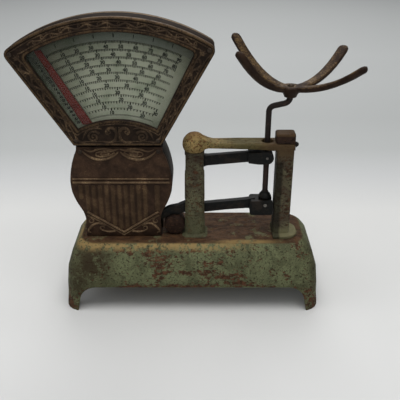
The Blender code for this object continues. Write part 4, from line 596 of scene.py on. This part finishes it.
def bronze_finish(name, colours, rub, bump=0.5, sheen=DULL_SHEEN):
    """Aged bronze. The rub is a value, or a function that draws it on the finish's own nodes."""
    finish, tree, shader = material_with(name, 0.5, BRONZE_METALLIC, sheen)
    amount = rub(tree) if callable(rub) else rub
    deep, bronze, rubbed = colours
    aged = use_group(tree, aged_bronze, Deep=deep, Bronze=bronze, Rubbed=rubbed, Rub=amount)
    feed(shader.inputs["Metallic"], aged["Metal"])
    lay_on(shader, aged["Color"], aged, bump, 0.4 * MM)
    return finish


pan_low, pan_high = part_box("pan_spider")
pan_middle = ((pan_low.x + pan_high.x) / 2, (pan_low.y + pan_high.y) / 2, pan_high.z + PAN_RISE)


def arms_rub(tree):
    """The spider's arms are rubbed to brass on their inner faces, where the round pan sat."""
    place = tree.nodes.new("ShaderNodeTexCoord").outputs
    inwards = vector_maths(tree, "SUBTRACT", pan_middle, place["Object"], "Vector")
    facing = vector_maths(tree, "DOT_PRODUCT", inwards, place["Normal"])
    inner = band(tree, facing, 10 * MM, 40 * MM)
    leftwards = times(tree, band(tree, axes_of(tree, place["Object"], "X"), *RUB_ACROSS), 0.06)
    return plus(tree, times(tree, inner, 0.38), plus(tree, leftwards, 0.10))


spider_finish = bronze_finish("spider_bronze", SPIDER_BRONZE, arms_rub, 0.35)
softened("pan_spider", spider_finish, SPIDER_EDGE, 50)


# The lower housing is a vase-shaped shell with a screwed front plate and a back door.
# All of it is cast and washed dark bronze, with colour left only on the raised lines.
SHELL_WASH = ((27, 22, 17), (40, 31, 23), (80, 62, 42))
FRONT_WASH = ((46, 34, 26), (66, 49, 37), (104, 82, 57))
RAISED_WASH = ((76, 60, 45), (100, 81, 61), (146, 123, 92))
FLUTE_WASH = ((60, 46, 33), (82, 64, 46), (120, 97, 69))
SHELL_EDGE = 0.7 * MM
PLATE_EDGE = 0.6 * MM
# The stippled band begins and ends softly at these heights, in metres
STIPPLE_FOOT = (0.206, 0.208)
STIPPLE_TOP = (0.232, 0.230)
STIPPLE_SCALE = 420
# Strands of the ornament, from the plate's middle and up from the shop counter, in millimetres
SWAG_OUTER = ((1.5, 246), (6, 241.5), (13, 237.6), (24, 234.4), (36, 235.4), (46, 240.5), (53, 247))
SWAG_CREST = ((0.5, 250.5), (8, 248.6), (18, 250.8), (30, 250.2), (41, 246.6), (50, 249.5))
SWAG_LEAF = ((7, 244.5), (15, 247.4), (25, 246.6), (34, 242.5), (28, 238.6), (17, 239.8), (9, 243.2))
SWAG_EYE = ((14, 243.8), (20, 244.8), (27, 242.6), (21, 241.2), (14.5, 243))
# Each rib has its height, its reach to each side and half its width
RIBS = ((203.4, 70.5, 1.2), (197.6, 71, 1.9))
FLUTE_XS = (-60.5, -51, -41.5, -32, -22.5, -13, -3.5, 6, 15.5, 25, 34.5)
FLUTE_HALF = 3.1
FLUTE_TOP = 193.5
FLUTE_GAP = 3
WIDE_STRIP_X, WIDE_STRIP_HALF = 52.5, 4.0
V_POINT, V_END = (0, 114.6), (53.5, 149.2)
# Each line of the V has how far above or below the point it starts, and half its width
V_LINES = ((0, 2.0), (-5, 1.1))
FOOT_SCROLL = ((13, 116.6), (22, 115.4), (31, 117.2), (35.6, 121), (33.6, 124.6), (30, 123), (30.8, 120.2))
FOOT_LEAF = ((28, 125), (35, 129.6), (44, 128.6), (50.5, 122.6), (54, 116), (50.5, 113.6))
FOOT_CURL = ((53.5, 143.5), (47.5, 139), (45.2, 133.6), (48.6, 130.6), (51.8, 133.4), (50, 136))

shaft = sum(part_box("indicator_shaft"), Vector()) / 2


def tapered(points, half, tail=0.35):
    """Points of a strand with half its width at each, thinner at the ends."""
    last = len(points) - 1
    fullness = [tail + (1 - tail) * math.sin(math.pi * i / last) ** 0.5 for i in range(last + 1)]
    return [(x, z, half * full) for (x, z), full in zip(points, fullness)]


def tailing(points, half, tail=0.3):
    """As tapered, but full at the start and thin at the end, as a volute is."""
    last = len(points) - 1
    return [(x, z, half * (1 - (1 - tail) * i / last)) for i, (x, z) in enumerate(points)]


def even(points, half):
    return [(x, z, half) for x, z in points]


def mirrored(strand):
    return [(-x, z, half) for x, z, half in strand]


def spiral(middle, start, outer, inner, turns, steps_a_turn=9):
    """Points that wind inwards about a middle, from the start angle."""
    count = max(3, round(abs(turns) * steps_a_turn))
    points = []
    for i in range(count + 1):
        radius = outer + (inner - outer) * (i / count) ** 0.8
        angle = start + 2 * math.pi * turns * i / count
        points.append((middle[0] + radius * math.cos(angle), middle[1] + radius * math.sin(angle)))
    return points


def round_curve(name, resolution):
    """An empty curve whose lines are round, each point's radius in millimetres."""
    curve = bpy.data.curves.new(name, "CURVE")
    curve.dimensions = "3D"
    curve.bevel_depth = MM
    curve.bevel_resolution = resolution
    return curve


def mesh_on_face(name, curve, face_y, lift):
    """The curve made a mesh, which stands off a front face this many times as far."""
    drawn = bpy.data.objects.new(name, curve)
    bpy.context.collection.objects.link(drawn)
    select_only(drawn)
    bpy.ops.object.convert(target="MESH")
    bpy.ops.object.mode_set(mode="EDIT")
    bpy.ops.mesh.select_all(action="SELECT")
    bpy.ops.transform.resize(value=(1, lift, 1), center_override=(0, face_y, 0))
    bpy.ops.mesh.normals_make_consistent(inside=False)
    bpy.ops.object.mode_set(mode="OBJECT")
    return drawn


def raised_lines(name, strands, face_y, lift, finish, from_z=0, closed=False):
    """The raised lines of a casting: drawn as curves on its face, upwards from a height."""
    curve = round_curve(name, 1)
    curve.resolution_u = 3
    curve.use_fill_caps = True
    for strand in strands:
        spline = curve.splines.new("BEZIER")
        spline.bezier_points.add(len(strand) - 1)
        spline.use_cyclic_u = closed
        for point, (x, z, half) in zip(spline.bezier_points, strand):
            point.co = (shaft.x + x * MM, face_y, from_z + z * MM)
            point.radius = half
            point.handle_left_type = point.handle_right_type = "AUTO"
    drawn = mesh_on_face(name, curve, face_y, lift)
    bpy.ops.object.shade_smooth_by_angle(angle=math.radians(50))
    drawn.data.materials.append(finish)
    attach(drawn, "stand")


shell_finish = bronze_finish("housing_bronze", SHELL_WASH, 0.2)
front_finish = bronze_finish("front_plate_bronze", FRONT_WASH, 0.28)
raised_finish = bronze_finish("raised_bronze", RAISED_WASH, 0.42)
flute_finish = bronze_finish("fluted_bronze", FLUTE_WASH, 0.30)
tree = front_finish.node_tree
spot = object_place(tree)
up = axes_of(tree, spot, "Z")
beads = tree.nodes.new("ShaderNodeTexVoronoi")
beads.inputs["Scale"].default_value = STIPPLE_SCALE
feed(beads.inputs["Vector"], spot)
in_band = times(tree, band(tree, up, *STIPPLE_FOOT), band(tree, up, *STIPPLE_TOP))
stipple = times(tree, less(tree, 1.0, beads.outputs["Distance"]), in_band)
height = next(node for node in tree.nodes if node.type == "BUMP").inputs["Height"]
feed(height, plus(tree, height.links[0].from_socket, times(tree, stipple, 1.6)))

for node in ("housing_shell", "housing_back"):
    softened(node, shell_finish, SHELL_EDGE, 40)
softened("housing_front", front_finish, PLATE_EDGE, 40)

halves = [tapered(SWAG_OUTER, 2.2), tapered(SWAG_CREST, 1.7), even(SWAG_EYE, 0.9)]
halves += [tailing(FOOT_SCROLL, 2.0), tapered(FOOT_LEAF, 2.1), tailing(FOOT_CURL, 1.6)]
vase_lines = []
for half_side in halves:
    vase_lines += [half_side, mirrored(half_side)]
for level, reach, half in RIBS:
    vase_lines.append(even([(-reach, level), (0, level), (reach, level)], half))
for rise, half in V_LINES:
    for side in (-1, 1):
        vase_lines.append(even([(0, V_POINT[1] + rise), (side * V_END[0], V_END[1] + rise)], half))
flutes = []
for x in (*FLUTE_XS, WIDE_STRIP_X):
    half = WIDE_STRIP_HALF if x == WIDE_STRIP_X else FLUTE_HALF
    low = V_POINT[1] + (V_END[1] - V_POINT[1]) * abs(x) / V_END[0] + FLUTE_GAP
    low += max(0, abs(x) - V_END[0]) * 2
    ends = (FLUTE_TOP, 0.8), (FLUTE_TOP - 3, 1), (low + 3, 1), (low, 0.8)
    flutes.append([(x, z, half * share) for z, share in ends])
leaf = even(SWAG_LEAF, 1.2)
plate_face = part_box("housing_front")[0].y
raised_lines("vase_ornament", vase_lines, plate_face, 1.2, raised_finish)
raised_lines("vase_flutes", flutes, plate_face, 0.5, flute_finish)
raised_lines("vase_swag_leaves", [leaf, mirrored(leaf)], plate_face, 1.3, raised_finish, closed=True)


# The fan-shaped case above it is cast the same way, and its bezel is a frame round the window
# with a raised vine all round, two lines beside it, and scrolls in the panel at the foot.
BEZEL_WASH = ((30, 23, 18), (44, 34, 26), (80, 64, 46))
VINE_WASH = ((48, 38, 29), (70, 56, 42), (114, 94, 70))
CASE_WASH = ((24, 18, 14), (36, 27, 20), (128, 106, 78))
CASE_SHEEN = 0.02
CASE_EDGE = 0.7 * MM
BEZEL_EDGE = 0.5 * MM
BEZEL_SINK = 1.4 * MM
# Each side of the fan and of its window has a slope and how far the shaft is from its line
FAN_SIDES = {-1: (math.radians(33), 11.7), 1: (math.radians(29.6), 15.3)}
WINDOW_SIDES = {-1: (math.radians(32), -6.2), 1: (math.radians(26.8), 3.4)}
FAN_TOP, WINDOW_TOP, WINDOW_FOOT = 256, 235.5, 115.5
FAN_FOOT_RISE = 76.7
WINDOW_LINE_GAP, EDGE_LINE_GAP = 6.2, -6.0
# The vine runs up each side from this radius and over the top at the next, out and in again
# once in each wave. On a side it keeps to this share of the bezel's breadth
VINE_FOOT, VINE_TOP = 118, 245.8
VINE_WAVE = 25
VINE_HALF = 1.4
VINE_MIDDLE, VINE_SWING = 0.49, 0.13
VINE_TOP_TURN = math.radians(27.2)
VINE_SIDE_STEPS, VINE_TOP_STEPS = 45, 84
VINE_CLIMB = 2.5
# A curl is a spiral from its outer to its inner radius
SIDE_CURLS = 9
SIDE_CURL, TOP_CURL = (3.8, 0.8), (2.9, 0.6)
CORNER_RADIUS, CORNER_SHARE = 237, 0.34
# The points of a side leaf, ahead of its curl along the vine and aside from it
SIDE_LEAF = ((-5, 0.12), (-1, 0.22), (4, 0.25), (8, 0.16))
SCROLL_C = (
    (12.4, 272.8), (15.6, 275.2), (15, 280), (9, 283.2), (3.4, 279.4),
    (2.6, 271), (6.4, 263.6), (14, 260.8), (21.5, 262.6),
)
SCROLL_ROOT = ((2.2, 284.5), (2.0, 272), (3.2, 262))
SCROLL_TAIL = ((22, 281.5), (30, 283.2), (40, 280.6), (46.5, 274), (50, 266))
SCROLL_LEAF = ((44, 262.8), (52, 261.4), (58, 266.5), (61.5, 274))
ROSETTE = (34.5, 270)
SCROLL_EYE = (12.6, 276.6)

bezel_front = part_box("fan_bezel")[0].y
bezel_face = bezel_front + BEZEL_SINK
case_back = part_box("fan_case")[1].y


def arc_spot(turn, radius):
    return Vector((radius * math.sin(turn), radius * math.cos(turn)))


def side_spot(radius, share, hand):
    """A place on one side of the bezel, between its window's edge at 0 and its own edge at 1."""
    ends = []
    for slope, reach in (WINDOW_SIDES[hand], FAN_SIDES[hand]):
        end = arc_spot(slope + math.asin(reach / radius), radius)
        ends.append(Vector((hand * end.x, end.y)))
    return ends[0].lerp(ends[1], share)


def half_line(hand, sides, gap, top, foot, level):
    """Half of a line outside the window or the fan by this gap, from mid foot to mid top."""
    slope, reach = sides[hand][0], sides[hand][1] + gap
    top, foot = top + gap, foot - gap
    high = slope + math.asin(reach / top)
    if level:
        start = Vector(((reach + foot * math.sin(slope)) / math.cos(slope), foot))
        under = [Vector((start.x * (i + 0.5) / 3, foot)) for i in range(3)]
    else:
        low = slope + math.asin(reach / foot)
        start = arc_spot(low, foot)
        under = [arc_spot(low * (i + 0.5) / 5, foot) for i in range(5)]
    end = arc_spot(high, top)
    sides = [start.lerp(end, i / 8) for i in range(9)]
    arc = [arc_spot(high * (1 - (i + 0.5) / 9), top) for i in range(9)]
    return [(hand * p.x, p.y) for p in [*under, *sides, *arc]]


def frame_line(half, *shape):
    right, left = half_line(1, *shape), half_line(-1, *shape)
    return even([*right, *reversed(left)], half)


def roll_rub(tree):
    """The bezel's rim and lip stand proud of its face, and are rubbed to bare bronze. Along the top arc
    the rim's brightness is also a painted highlight.
    """
    spot = object_place(tree)
    far = vector_maths(tree, "DISTANCE", spot, (shaft.x, bezel_face, shaft.z))
    rim = band(tree, far, (FAN_TOP - 2) * MM, (FAN_TOP - 0.5) * MM)
    lip = band(tree, axes_of(tree, spot, "Y"), bezel_face, bezel_front)
    return plus(tree, 0.22, times(tree, maths(tree, "MAXIMUM", rim, lip), 0.5))


def edge_rub(tree):
    """The case is rubbed bright along its back edge, where the brightness is also a painted highlight, and
    black with dirt towards the bezel.
    """
    deep = axes_of(tree, object_place(tree), "Y")
    back = band(tree, deep, case_back - 8 * MM, case_back - 3 * MM)
    return plus(tree, -0.1, times(tree, back, 0.95))


bezel_finish = bronze_finish("bezel_bronze", BEZEL_WASH, roll_rub)
vine_finish = bronze_finish("bezel_raised_bronze", VINE_WASH, 0.42)
case_finish = bronze_finish("case_bronze", CASE_WASH, edge_rub, sheen=CASE_SHEEN)
softened("fan_case", case_finish, CASE_EDGE, 40)
softened("fan_back", shell_finish, CASE_EDGE, 40)
softened("fan_bezel", bezel_finish, BEZEL_EDGE, 24)

border = [
    frame_line(1.1, WINDOW_SIDES, WINDOW_LINE_GAP, WINDOW_TOP, WINDOW_FOOT, False),
    frame_line(0.9, FAN_SIDES, EDGE_LINE_GAP, FAN_TOP, FAN_FOOT_RISE, True),
]
raised_lines("bezel_border_lines", border, bezel_face, 0.9, vine_finish, shaft.z, True)

vine = []
for hand in (-1, 1):
    stalk = []
    for i in range(VINE_SIDE_STEPS + 1):
        climb = i * VINE_CLIMB
        swing = VINE_SWING * math.sin(2 * math.pi * climb / VINE_WAVE)
        stalk.append(tuple(side_spot(VINE_FOOT + climb, VINE_MIDDLE + swing, hand)))
    vine.append(even(stalk, VINE_HALF))
    for i in range(SIDE_CURLS):
        radius = VINE_FOOT + VINE_WAVE * (i / 2 + 0.25)
        inwards = -1 if i % 2 == 0 else 1
        at = side_spot(radius + 3.5, VINE_MIDDLE + VINE_SWING * inwards, hand)
        start = math.pi / 2 - hand * FAN_SIDES[hand][0] + hand * inwards * math.pi / 2
        vine.append(tailing(spiral(at, start, *SIDE_CURL, -0.95 * inwards * hand), 1.6))
        leaf = []
        for ahead, aside in SIDE_LEAF:
            leaf.append(tuple(side_spot(radius + ahead, VINE_MIDDLE - inwards * aside, hand)))
        vine.append(tapered(leaf, 1.8, 0.2))
waves = round(2 * VINE_TOP_TURN * VINE_TOP / VINE_WAVE)
stalk = []
for i in range(VINE_TOP_STEPS + 1):
    share = i / VINE_TOP_STEPS
    swing = 2.1 * math.sin(2 * math.pi * waves * share)
    stalk.append(tuple(arc_spot(VINE_TOP_TURN * (2 * share - 1), VINE_TOP + swing)))
vine.append(even(stalk, VINE_HALF))
for i in range(2 * waves):
    share = (i + 0.5) / (2 * waves)
    outwards = 1 if i % 2 == 0 else -1
    turn = VINE_TOP_TURN * (2 * share - 1)
    at = arc_spot(turn + math.radians(0.9), VINE_TOP - 1.3 * outwards)
    start = outwards * math.pi / 2 - turn
    vine.append(tailing(spiral(at, start, *TOP_CURL, 0.85 * outwards, 8), 1.3))
for hand in (-1, 1):
    root = side_spot(CORNER_RADIUS, CORNER_SHARE, hand)
    for i in range(5):
        lean = math.radians(-14 + 27 * i)
        tip = root + Vector((hand * math.cos(lean), math.sin(lean))) * (8.6 if i in (1, 2) else 6.6)
        middle = root.lerp(tip, 0.55)
        vine.append([(*root, 0.6), (*middle, 1.5), (*tip, 0.3)])
raised_lines("bezel_vine", vine, bezel_face, 0.95, vine_finish, shaft.z)

panel = [
    tapered(SCROLL_C, 2.4),
    tapered(SCROLL_TAIL, 2.1, 0.3),
    tapered(SCROLL_LEAF, 2.1, 0.2),
    even(SCROLL_ROOT, 1.1),
    tailing(spiral(ROSETTE, math.radians(150), 9.4, 1.2, -1.75, 10), 2.1, 0.5),
    tailing(spiral(SCROLL_EYE, math.radians(20), 3.2, 0.8, 1.1, 8), 1.4),
]
panel += [mirrored(strand) for strand in panel]
raised_lines("bezel_panel_scrolls", panel, bezel_face, 0.85, vine_finish)


# The dial behind the glass is a printed paper chart, pasted on a plate. Rows of ticks and
# figures run round the pointer's shaft, one row for each price, under a greyer top band.
CHART_PAPER = ((151, 151, 134), (132, 133, 116))
CHART_BAND = (114, 118, 113)
CHART_STAIN = (120, 124, 104)
CHART_DIRT_AND_SHADE = (78, 76, 60)
CHART_INK = ((12, 13, 11), (34, 36, 31))
# The paper is clean and fully lit about this place, in millimetres across and up from the shaft, and its
# dirt and painted shade from the bezel begin and are full at these radii
CLEAN_LIT_MIDDLE = (13, 156)
DIRT_AND_SHADE_REACH = (33 * MM, 112 * MM)
BAND_RADIUS = 222
CHART_HALF_TURN = 24.5
# Each row of figures has its radius and the turn between two tens
CHART_ROWS = (
    (215.6, 5.4), (205.0, 6.0), (194.6, 6.5), (184.0, 7.2), (173.4, 8.4), (162.4, 9.9),
    (152.0, 12.5), (142.0, 13.4), (132.0, 16.1), (123.0, 20.5),
)
FIGURE_SIZE = 6.7
FIGURE_BOLD = 0.31 * MM
TICKS_A_TEN = 10
# The length and half the width of a plain tick, of every fifth and of every tenth
TICKS = ((2.8, 0.56), (3.4, 0.66), (4.2, 0.80))
ROW_LINE_HALF, FOOT_LINE_HALF = 0.18, 0.2
FOOT_LINES = (118.8, 117.6)
BAND_MARKS = (-20.25, -13.5, -6.75, 0, 6.75, 13.5, 20.25)
INK_LIFT = 0.15 * MM
INK_THICKNESS = 0.12


def ink_on(name, body, face_y, finish, strokes, figures=(), size=FIGURE_SIZE):
    """Print: strokes as thin curves and figures as text, made one flat mesh just off the face."""
    curve = round_curve(name, 0)
    for points, half in strokes:
        spline = curve.splines.new("POLY")
        spline.points.add(len(points) - 1)
        for point, (x, z) in zip(spline.points, points):
            point.co = (shaft.x + x * MM, face_y, shaft.z + z * MM, 1)
            point.radius = half
    pieces = [mesh_on_face(name, curve, face_y, INK_THICKNESS)]
    for number, x, z, turn in figures:
        at = (shaft.x + x * MM, face_y - INK_LIFT / 4, shaft.z + z * MM)
        bpy.ops.object.text_add(location=at, rotation=(math.pi / 2, turn, 0))
        figure = bpy.context.object.data
        figure.body = number
        figure.size = size * MM
        figure.align_x = figure.align_y = "CENTER"
        figure.offset = FIGURE_BOLD
        figure.resolution_u = 2
        bpy.ops.object.convert(target="MESH")
        pieces.append(bpy.context.object)
    select_only(*pieces)
    bpy.ops.object.join()
    bpy.ops.object.transform_apply()
    printed = bpy.context.object
    printed.name = printed.data.name = name
    printed.data.materials.append(finish)
    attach(printed, body)


def polar(turn, radius):
    angle = math.radians(turn)
    return (radius * math.sin(angle), radius * math.cos(angle))


chart_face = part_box("chart_plate")[0].y
chart_finish, tree, shader = material_with("chart_paper", 0.8)
spot = object_place(tree)
sheet = blend(tree, speckled(tree, spot, 26, 0.40, 0.66, rough=0.6), *CHART_PAPER, 0.6)
from_shaft = vector_maths(tree, "DISTANCE", spot, (shaft.x, chart_face, shaft.z))
top_band = band(tree, from_shaft, (BAND_RADIUS - 0.4) * MM, (BAND_RADIUS + 0.6) * MM)
sheet = blend(tree, top_band, sheet, CHART_BAND, 0.85)
sheet = blend(tree, speckled(tree, spot, 90, 0.56, 0.72, rough=0.75), sheet, CHART_STAIN, 0.25)
clean_lit_place = (shaft.x + CLEAN_LIT_MIDDLE[0] * MM, chart_face, shaft.z + CLEAN_LIT_MIDDLE[1] * MM)
# Dirt and painted shade: the paper darkens away from that place towards its edges, where the bezel shades
# it
edge_dirt_and_shade = band(tree, vector_maths(tree, "DISTANCE", spot, clean_lit_place), *DIRT_AND_SHADE_REACH)
feed(shader.inputs["Base Color"], blend(tree, edge_dirt_and_shade, sheet, CHART_DIRT_AND_SHADE, 0.82))
rough_skin(shader, noise_at(tree, spot, 600, 3), 0.15, 0.2 * MM)
paint_node("chart_plate", chart_finish)

ink_finish, tree, shader = material_with("chart_ink", 0.7)
fading = speckled(tree, object_place(tree), 130, 0.42, 0.70, 4)
feed(shader.inputs["Base Color"], blend(tree, fading, *CHART_INK, 0.5))

strokes = []
figures = []
arc_turns = [CHART_HALF_TURN * (i / 20 - 1) for i in range(41)]
row_edges = [BAND_RADIUS]
for (radius, _), (lower, _) in zip(CHART_ROWS, CHART_ROWS[1:]):
    row_edges.append((radius + lower) / 2 + 0.8)
for edge, (radius, ten) in zip(row_edges, CHART_ROWS):
    strokes.append(([polar(turn, edge) for turn in arc_turns], ROW_LINE_HALF))
    for count in range(int(2 * CHART_HALF_TURN / ten * TICKS_A_TEN) + 1):
        turn = count * ten / TICKS_A_TEN - CHART_HALF_TURN
        rank = 2 if count % 10 == 0 else 1 if count % 5 == 0 else 0
        length, half = TICKS[rank]
        strokes.append(([polar(turn, edge), polar(turn, edge - length)], half))
        if rank == 2 and count > 0:
            figures.append((str(count), *polar(turn, radius - 1.6), math.radians(turn)))
for radius in FOOT_LINES:
    strokes.append(([polar(turn, radius) for turn in arc_turns], FOOT_LINE_HALF))
for turn in BAND_MARKS:
    half = 0.75 if turn == 0 else 0.5
    strokes.append(([polar(turn, BAND_RADIUS + 4.5), polar(turn, BAND_RADIUS + 9.5)], half))
ink_on("chart_print", "stand", chart_face - INK_LIFT, ink_finish, strokes, figures)


# The indicator is a long enamelled blade that swings over the chart from the shaft. A red
# hatched strip marks its reading edge, and a column of price figures stands beside it.
BLADE_ENAMEL = ((98, 100, 86), (65, 67, 55))
STRIP_RED = ((96, 35, 30), (68, 24, 21))
HATCH_PINK = ((136, 86, 77), (94, 46, 40))
# Each of these is a painted shade, laid over the blade, strip and hatching towards the tip
BLADE_TIP_SHADE, STRIP_TIP_SHADE, HATCH_TIP_SHADE = (44, 46, 38), (76, 28, 24), (92, 44, 38)
BLADE_TIP = (0.295, 0.385)
# The strip's corners: left and right at the foot, left and right at the top
STRIP_CORNERS = ((-49.8, 105.6), (-34.4, 105.6), (-107.2, 209.2), (-98.0, 211.0))
# How far the strip, the figures and the hatching stand off the blade
STRIP_LIFT, COLUMN_LIFT, HATCH_LIFT = 0.12 * MM, 0.15 * MM, 0.2 * MM
HATCH_COUNT = 46
HATCH_HALF = 0.26
COLUMN_TURNS = (-28.7, -27.0)
COLUMN_FIGURES = (5, 6, 7, 8, 9, 10, 12, 14, 16, 18, 20, 22, 24, 25, 28, 30, 32, 35)
COLUMN_RADIUS, COLUMN_LENGTH = 226, 104
COLUMN_SIZE = 4.6
COLUMN_RULE = ((-26.9, 224), (-25.3, 120))
COLUMN_RULE_HALF = 0.25


def dimmed_upwards(tree, scale, low, high, shades, tip_shade, detail=5):
    """Two clouded colours of the blade or its strip, with painted shade darkening them towards the tip."""
    spot = object_place(tree)
    shade = blend(tree, speckled(tree, spot, scale, low, high, detail), *shades)
    return blend(tree, band(tree, axes_of(tree, spot, "Z"), *BLADE_TIP), shade, tip_shade, 0.8)


blade_finish, tree, shader = material_with("blade_enamel", 0.5)
enamel = dimmed_upwards(tree, 60, 0.38, 0.66, BLADE_ENAMEL, BLADE_TIP_SHADE)
feed(shader.inputs["Base Color"], enamel)
rough_skin(shader, noise_at(tree, object_place(tree), 500, 3), 0.15, 0.2 * MM)
paint_node("indicator", blade_finish)

# The blade is what stands well above the shaft
blade_front = min(v.co.y for v in nodes["indicator"].data.vertices if v.co.z > shaft.z + 0.15)
bpy.ops.mesh.primitive_plane_add(size=2, rotation=(math.pi / 2, 0, 0))
strip = bpy.context.object
strip.name = strip.data.name = "indicator_red_strip"
bpy.ops.object.transform_apply()
for corner, (x, z) in zip(strip.data.vertices, STRIP_CORNERS):
    corner.co = (shaft.x + x * MM, blade_front - STRIP_LIFT, shaft.z + z * MM)
red_finish, tree, shader = material_with("strip_red", 0.55)
feed(shader.inputs["Base Color"], dimmed_upwards(tree, 150, 0.38, 0.66, STRIP_RED, STRIP_TIP_SHADE))
strip.data.materials.append(red_finish)
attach(strip, "pointer")

hatch_finish, tree, shader = material_with("strip_hatch", 0.6)
hatch = dimmed_upwards(tree, 200, 0.40, 0.62, HATCH_PINK, HATCH_TIP_SHADE, 4)
feed(shader.inputs["Base Color"], hatch)
foot_left, foot_right, top_left, top_right = (Vector(c) for c in STRIP_CORNERS)
hatching = []
for i in range(HATCH_COUNT):
    share = (i + 0.5) / HATCH_COUNT
    left, right = foot_left.lerp(top_left, share), foot_right.lerp(top_right, share)
    middle = left.lerp(right, 0.5)
    hatching.append(([tuple(left.lerp(right, 0.16)), tuple(middle)], HATCH_HALF))
    hatching.append(([tuple(middle.lerp(right, 0.22)), tuple(left.lerp(right, 0.84))], HATCH_HALF))
column = []
for i, price in enumerate(COLUMN_FIGURES):
    share = i / (len(COLUMN_FIGURES) - 1)
    turn = COLUMN_TURNS[0] + (COLUMN_TURNS[1] - COLUMN_TURNS[0]) * share
    column.append((str(price), *polar(turn, COLUMN_RADIUS - COLUMN_LENGTH * share), 0))
rule = [([polar(*end) for end in COLUMN_RULE], COLUMN_RULE_HALF)]
ink_on("indicator_hatching", "pointer", blade_front - HATCH_LIFT, hatch_finish, hatching)
figures_y = blade_front - COLUMN_LIFT
ink_on("indicator_figures", "pointer", figures_y, ink_finish, rule, column, COLUMN_SIZE)


# The window is a pane of old glass, held behind the bezel's lip. It lets the light of the
# room through to the chart, so that its shadow is only a faint one.
GLASS_TINTS = ((246, 250, 248), (226, 234, 228))
GLASS_IOR = 1.2
GLASS_SHEEN = 0.07
LIGHT_THROUGH = 0.88

glass_finish, tree, shader = material_with("dial_glass", 0.04, sheen=GLASS_SHEEN)
shader.inputs["Transmission Weight"].default_value = 1.0
shader.inputs["IOR"].default_value = GLASS_IOR
smudge = speckled(tree, object_place(tree), 34, 0.45, 0.72)
feed(shader.inputs["Base Color"], blend(tree, smudge, *GLASS_TINTS))
feed(shader.inputs["Roughness"], plus(tree, 0.02, times(tree, smudge, 0.06)))
rays = tree.nodes.new("ShaderNodeLightPath").outputs
feed(shader.inputs["Alpha"], less(tree, 1.0, times(tree, rays["Is Shadow Ray"], LIGHT_THROUGH)))
paint_node("fan_glass", glass_finish)


# The movement hangs from the shaft inside the housing. Its crank, draw link, bushings, bob and
# dash pot are brass gone dull, and the shaft, knife, bearings, rods and pins are steel.
# Each metal has its bright colour, its dull one and its dark spots
BRASS = ((142, 116, 66), (104, 82, 48), (70, 58, 40))
STEEL = ((122, 120, 114), (92, 88, 82), (78, 60, 46))
BLACKENED = ((70, 60, 50), (54, 46, 40), (40, 34, 30))
BRASS_NODES = (
    "crank_arm", "draw_link", "front_bushing", "rear_bushing",
    "pendulum_bob", "dashpot_cylinder", "dashpot_piston",
)


def metal_finish(name, colours, metallic, roughness):
    """A worked metal with dull clouds and fine turning marks."""
    finish, tree, shader = material_with(name, roughness, metallic)
    spot = object_place(tree)
    bright, dull, dark = colours
    cloud = noise_at(tree, spot, 85, 5, 0.7)
    grit = noise_at(tree, spot, 700, 3)
    shade = blend(tree, band(tree, cloud, 0.38, 0.62), bright, dull)
    shade = blend(tree, band(tree, grit, 0.54, 0.70), shade, dark, 0.7)
    feed(shader.inputs["Base Color"], shade)
    feed(shader.inputs["Roughness"], plus(tree, roughness - 0.1, times(tree, cloud, 0.3)))
    rough_skin(shader, plus(tree, cloud, grit), 0.25, 0.2 * MM)
    return finish


brass_finish = metal_finish("dull_brass", BRASS, 0.8, 0.42)
steel_finish = metal_finish("oiled_steel", STEEL, 0.85, 0.42)
for node in sorted(nodes):
    packed_finish = nodes[node].active_material
    if node in BRASS_NODES:
        paint_node(node, brass_finish)
    elif packed_finish and packed_finish.name.startswith("steel"):
        paint_node(node, steel_finish)


# Every small screw has a turned head with a slot. Most have a blackened metal finish of their own,
# and the side screw is as black and dull as the bolts.
SCREW_EDGE = 0.25 * MM
SLOT_WIDTH, SLOT_DEPTH = 0.9 * MM, 0.9 * MM
X, Y, Z = 0, 1, 2
# Which way along y the heads of each kind of screw face
HEADS = {"bezel_screw": -1, "housing_screw": -1, "door_screw": 1, "back_screw": 1}

screw_finish = metal_finish("blackened_screws", BLACKENED, 0.5, 0.5)


def slotted(node, axis, outwards, turn, finish):
    """A copy of a CAD screw with a slot cut across its head, which stands for the node."""
    screw = softened(node, finish, SCREW_EDGE, 50)
    low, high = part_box(node)
    place = (low + high) / 2
    place[axis] = (high if outwards > 0 else low)[axis]
    size = [SLOT_WIDTH, SLOT_WIDTH, SLOT_WIDTH]
    size[Y if axis == X else X] = max(high[i] - low[i] for i in (X, Y, Z) if i != axis) + 2 * MM
    size[axis] = 2 * SLOT_DEPTH
    bpy.ops.mesh.primitive_cube_add(size=1, location=place)
    cutter = bpy.context.object
    cutter.scale = size
    cutter.rotation_euler[axis] = turn
    bpy.context.view_layer.update()
    select_only(screw)
    cut = screw.modifiers.new("slot", "BOOLEAN")
    cut.operation = "DIFFERENCE"
    cut.solver = "EXACT"
    cut.object = cutter
    bpy.ops.object.modifier_apply(modifier=cut.name)
    bpy.data.objects.remove(cutter, do_unlink=True)


chance = random.Random(7)
for node in sorted(nodes):
    kind = "_".join(node.split("_")[:2])
    if kind in HEADS:
        slotted(node, Y, HEADS[kind], chance.uniform(0, math.pi), screw_finish)
slotted("spider_screw", Z, 1, 0.4, screw_finish)
slotted("side_screw", X, 1, 0.9, bolt_finish)
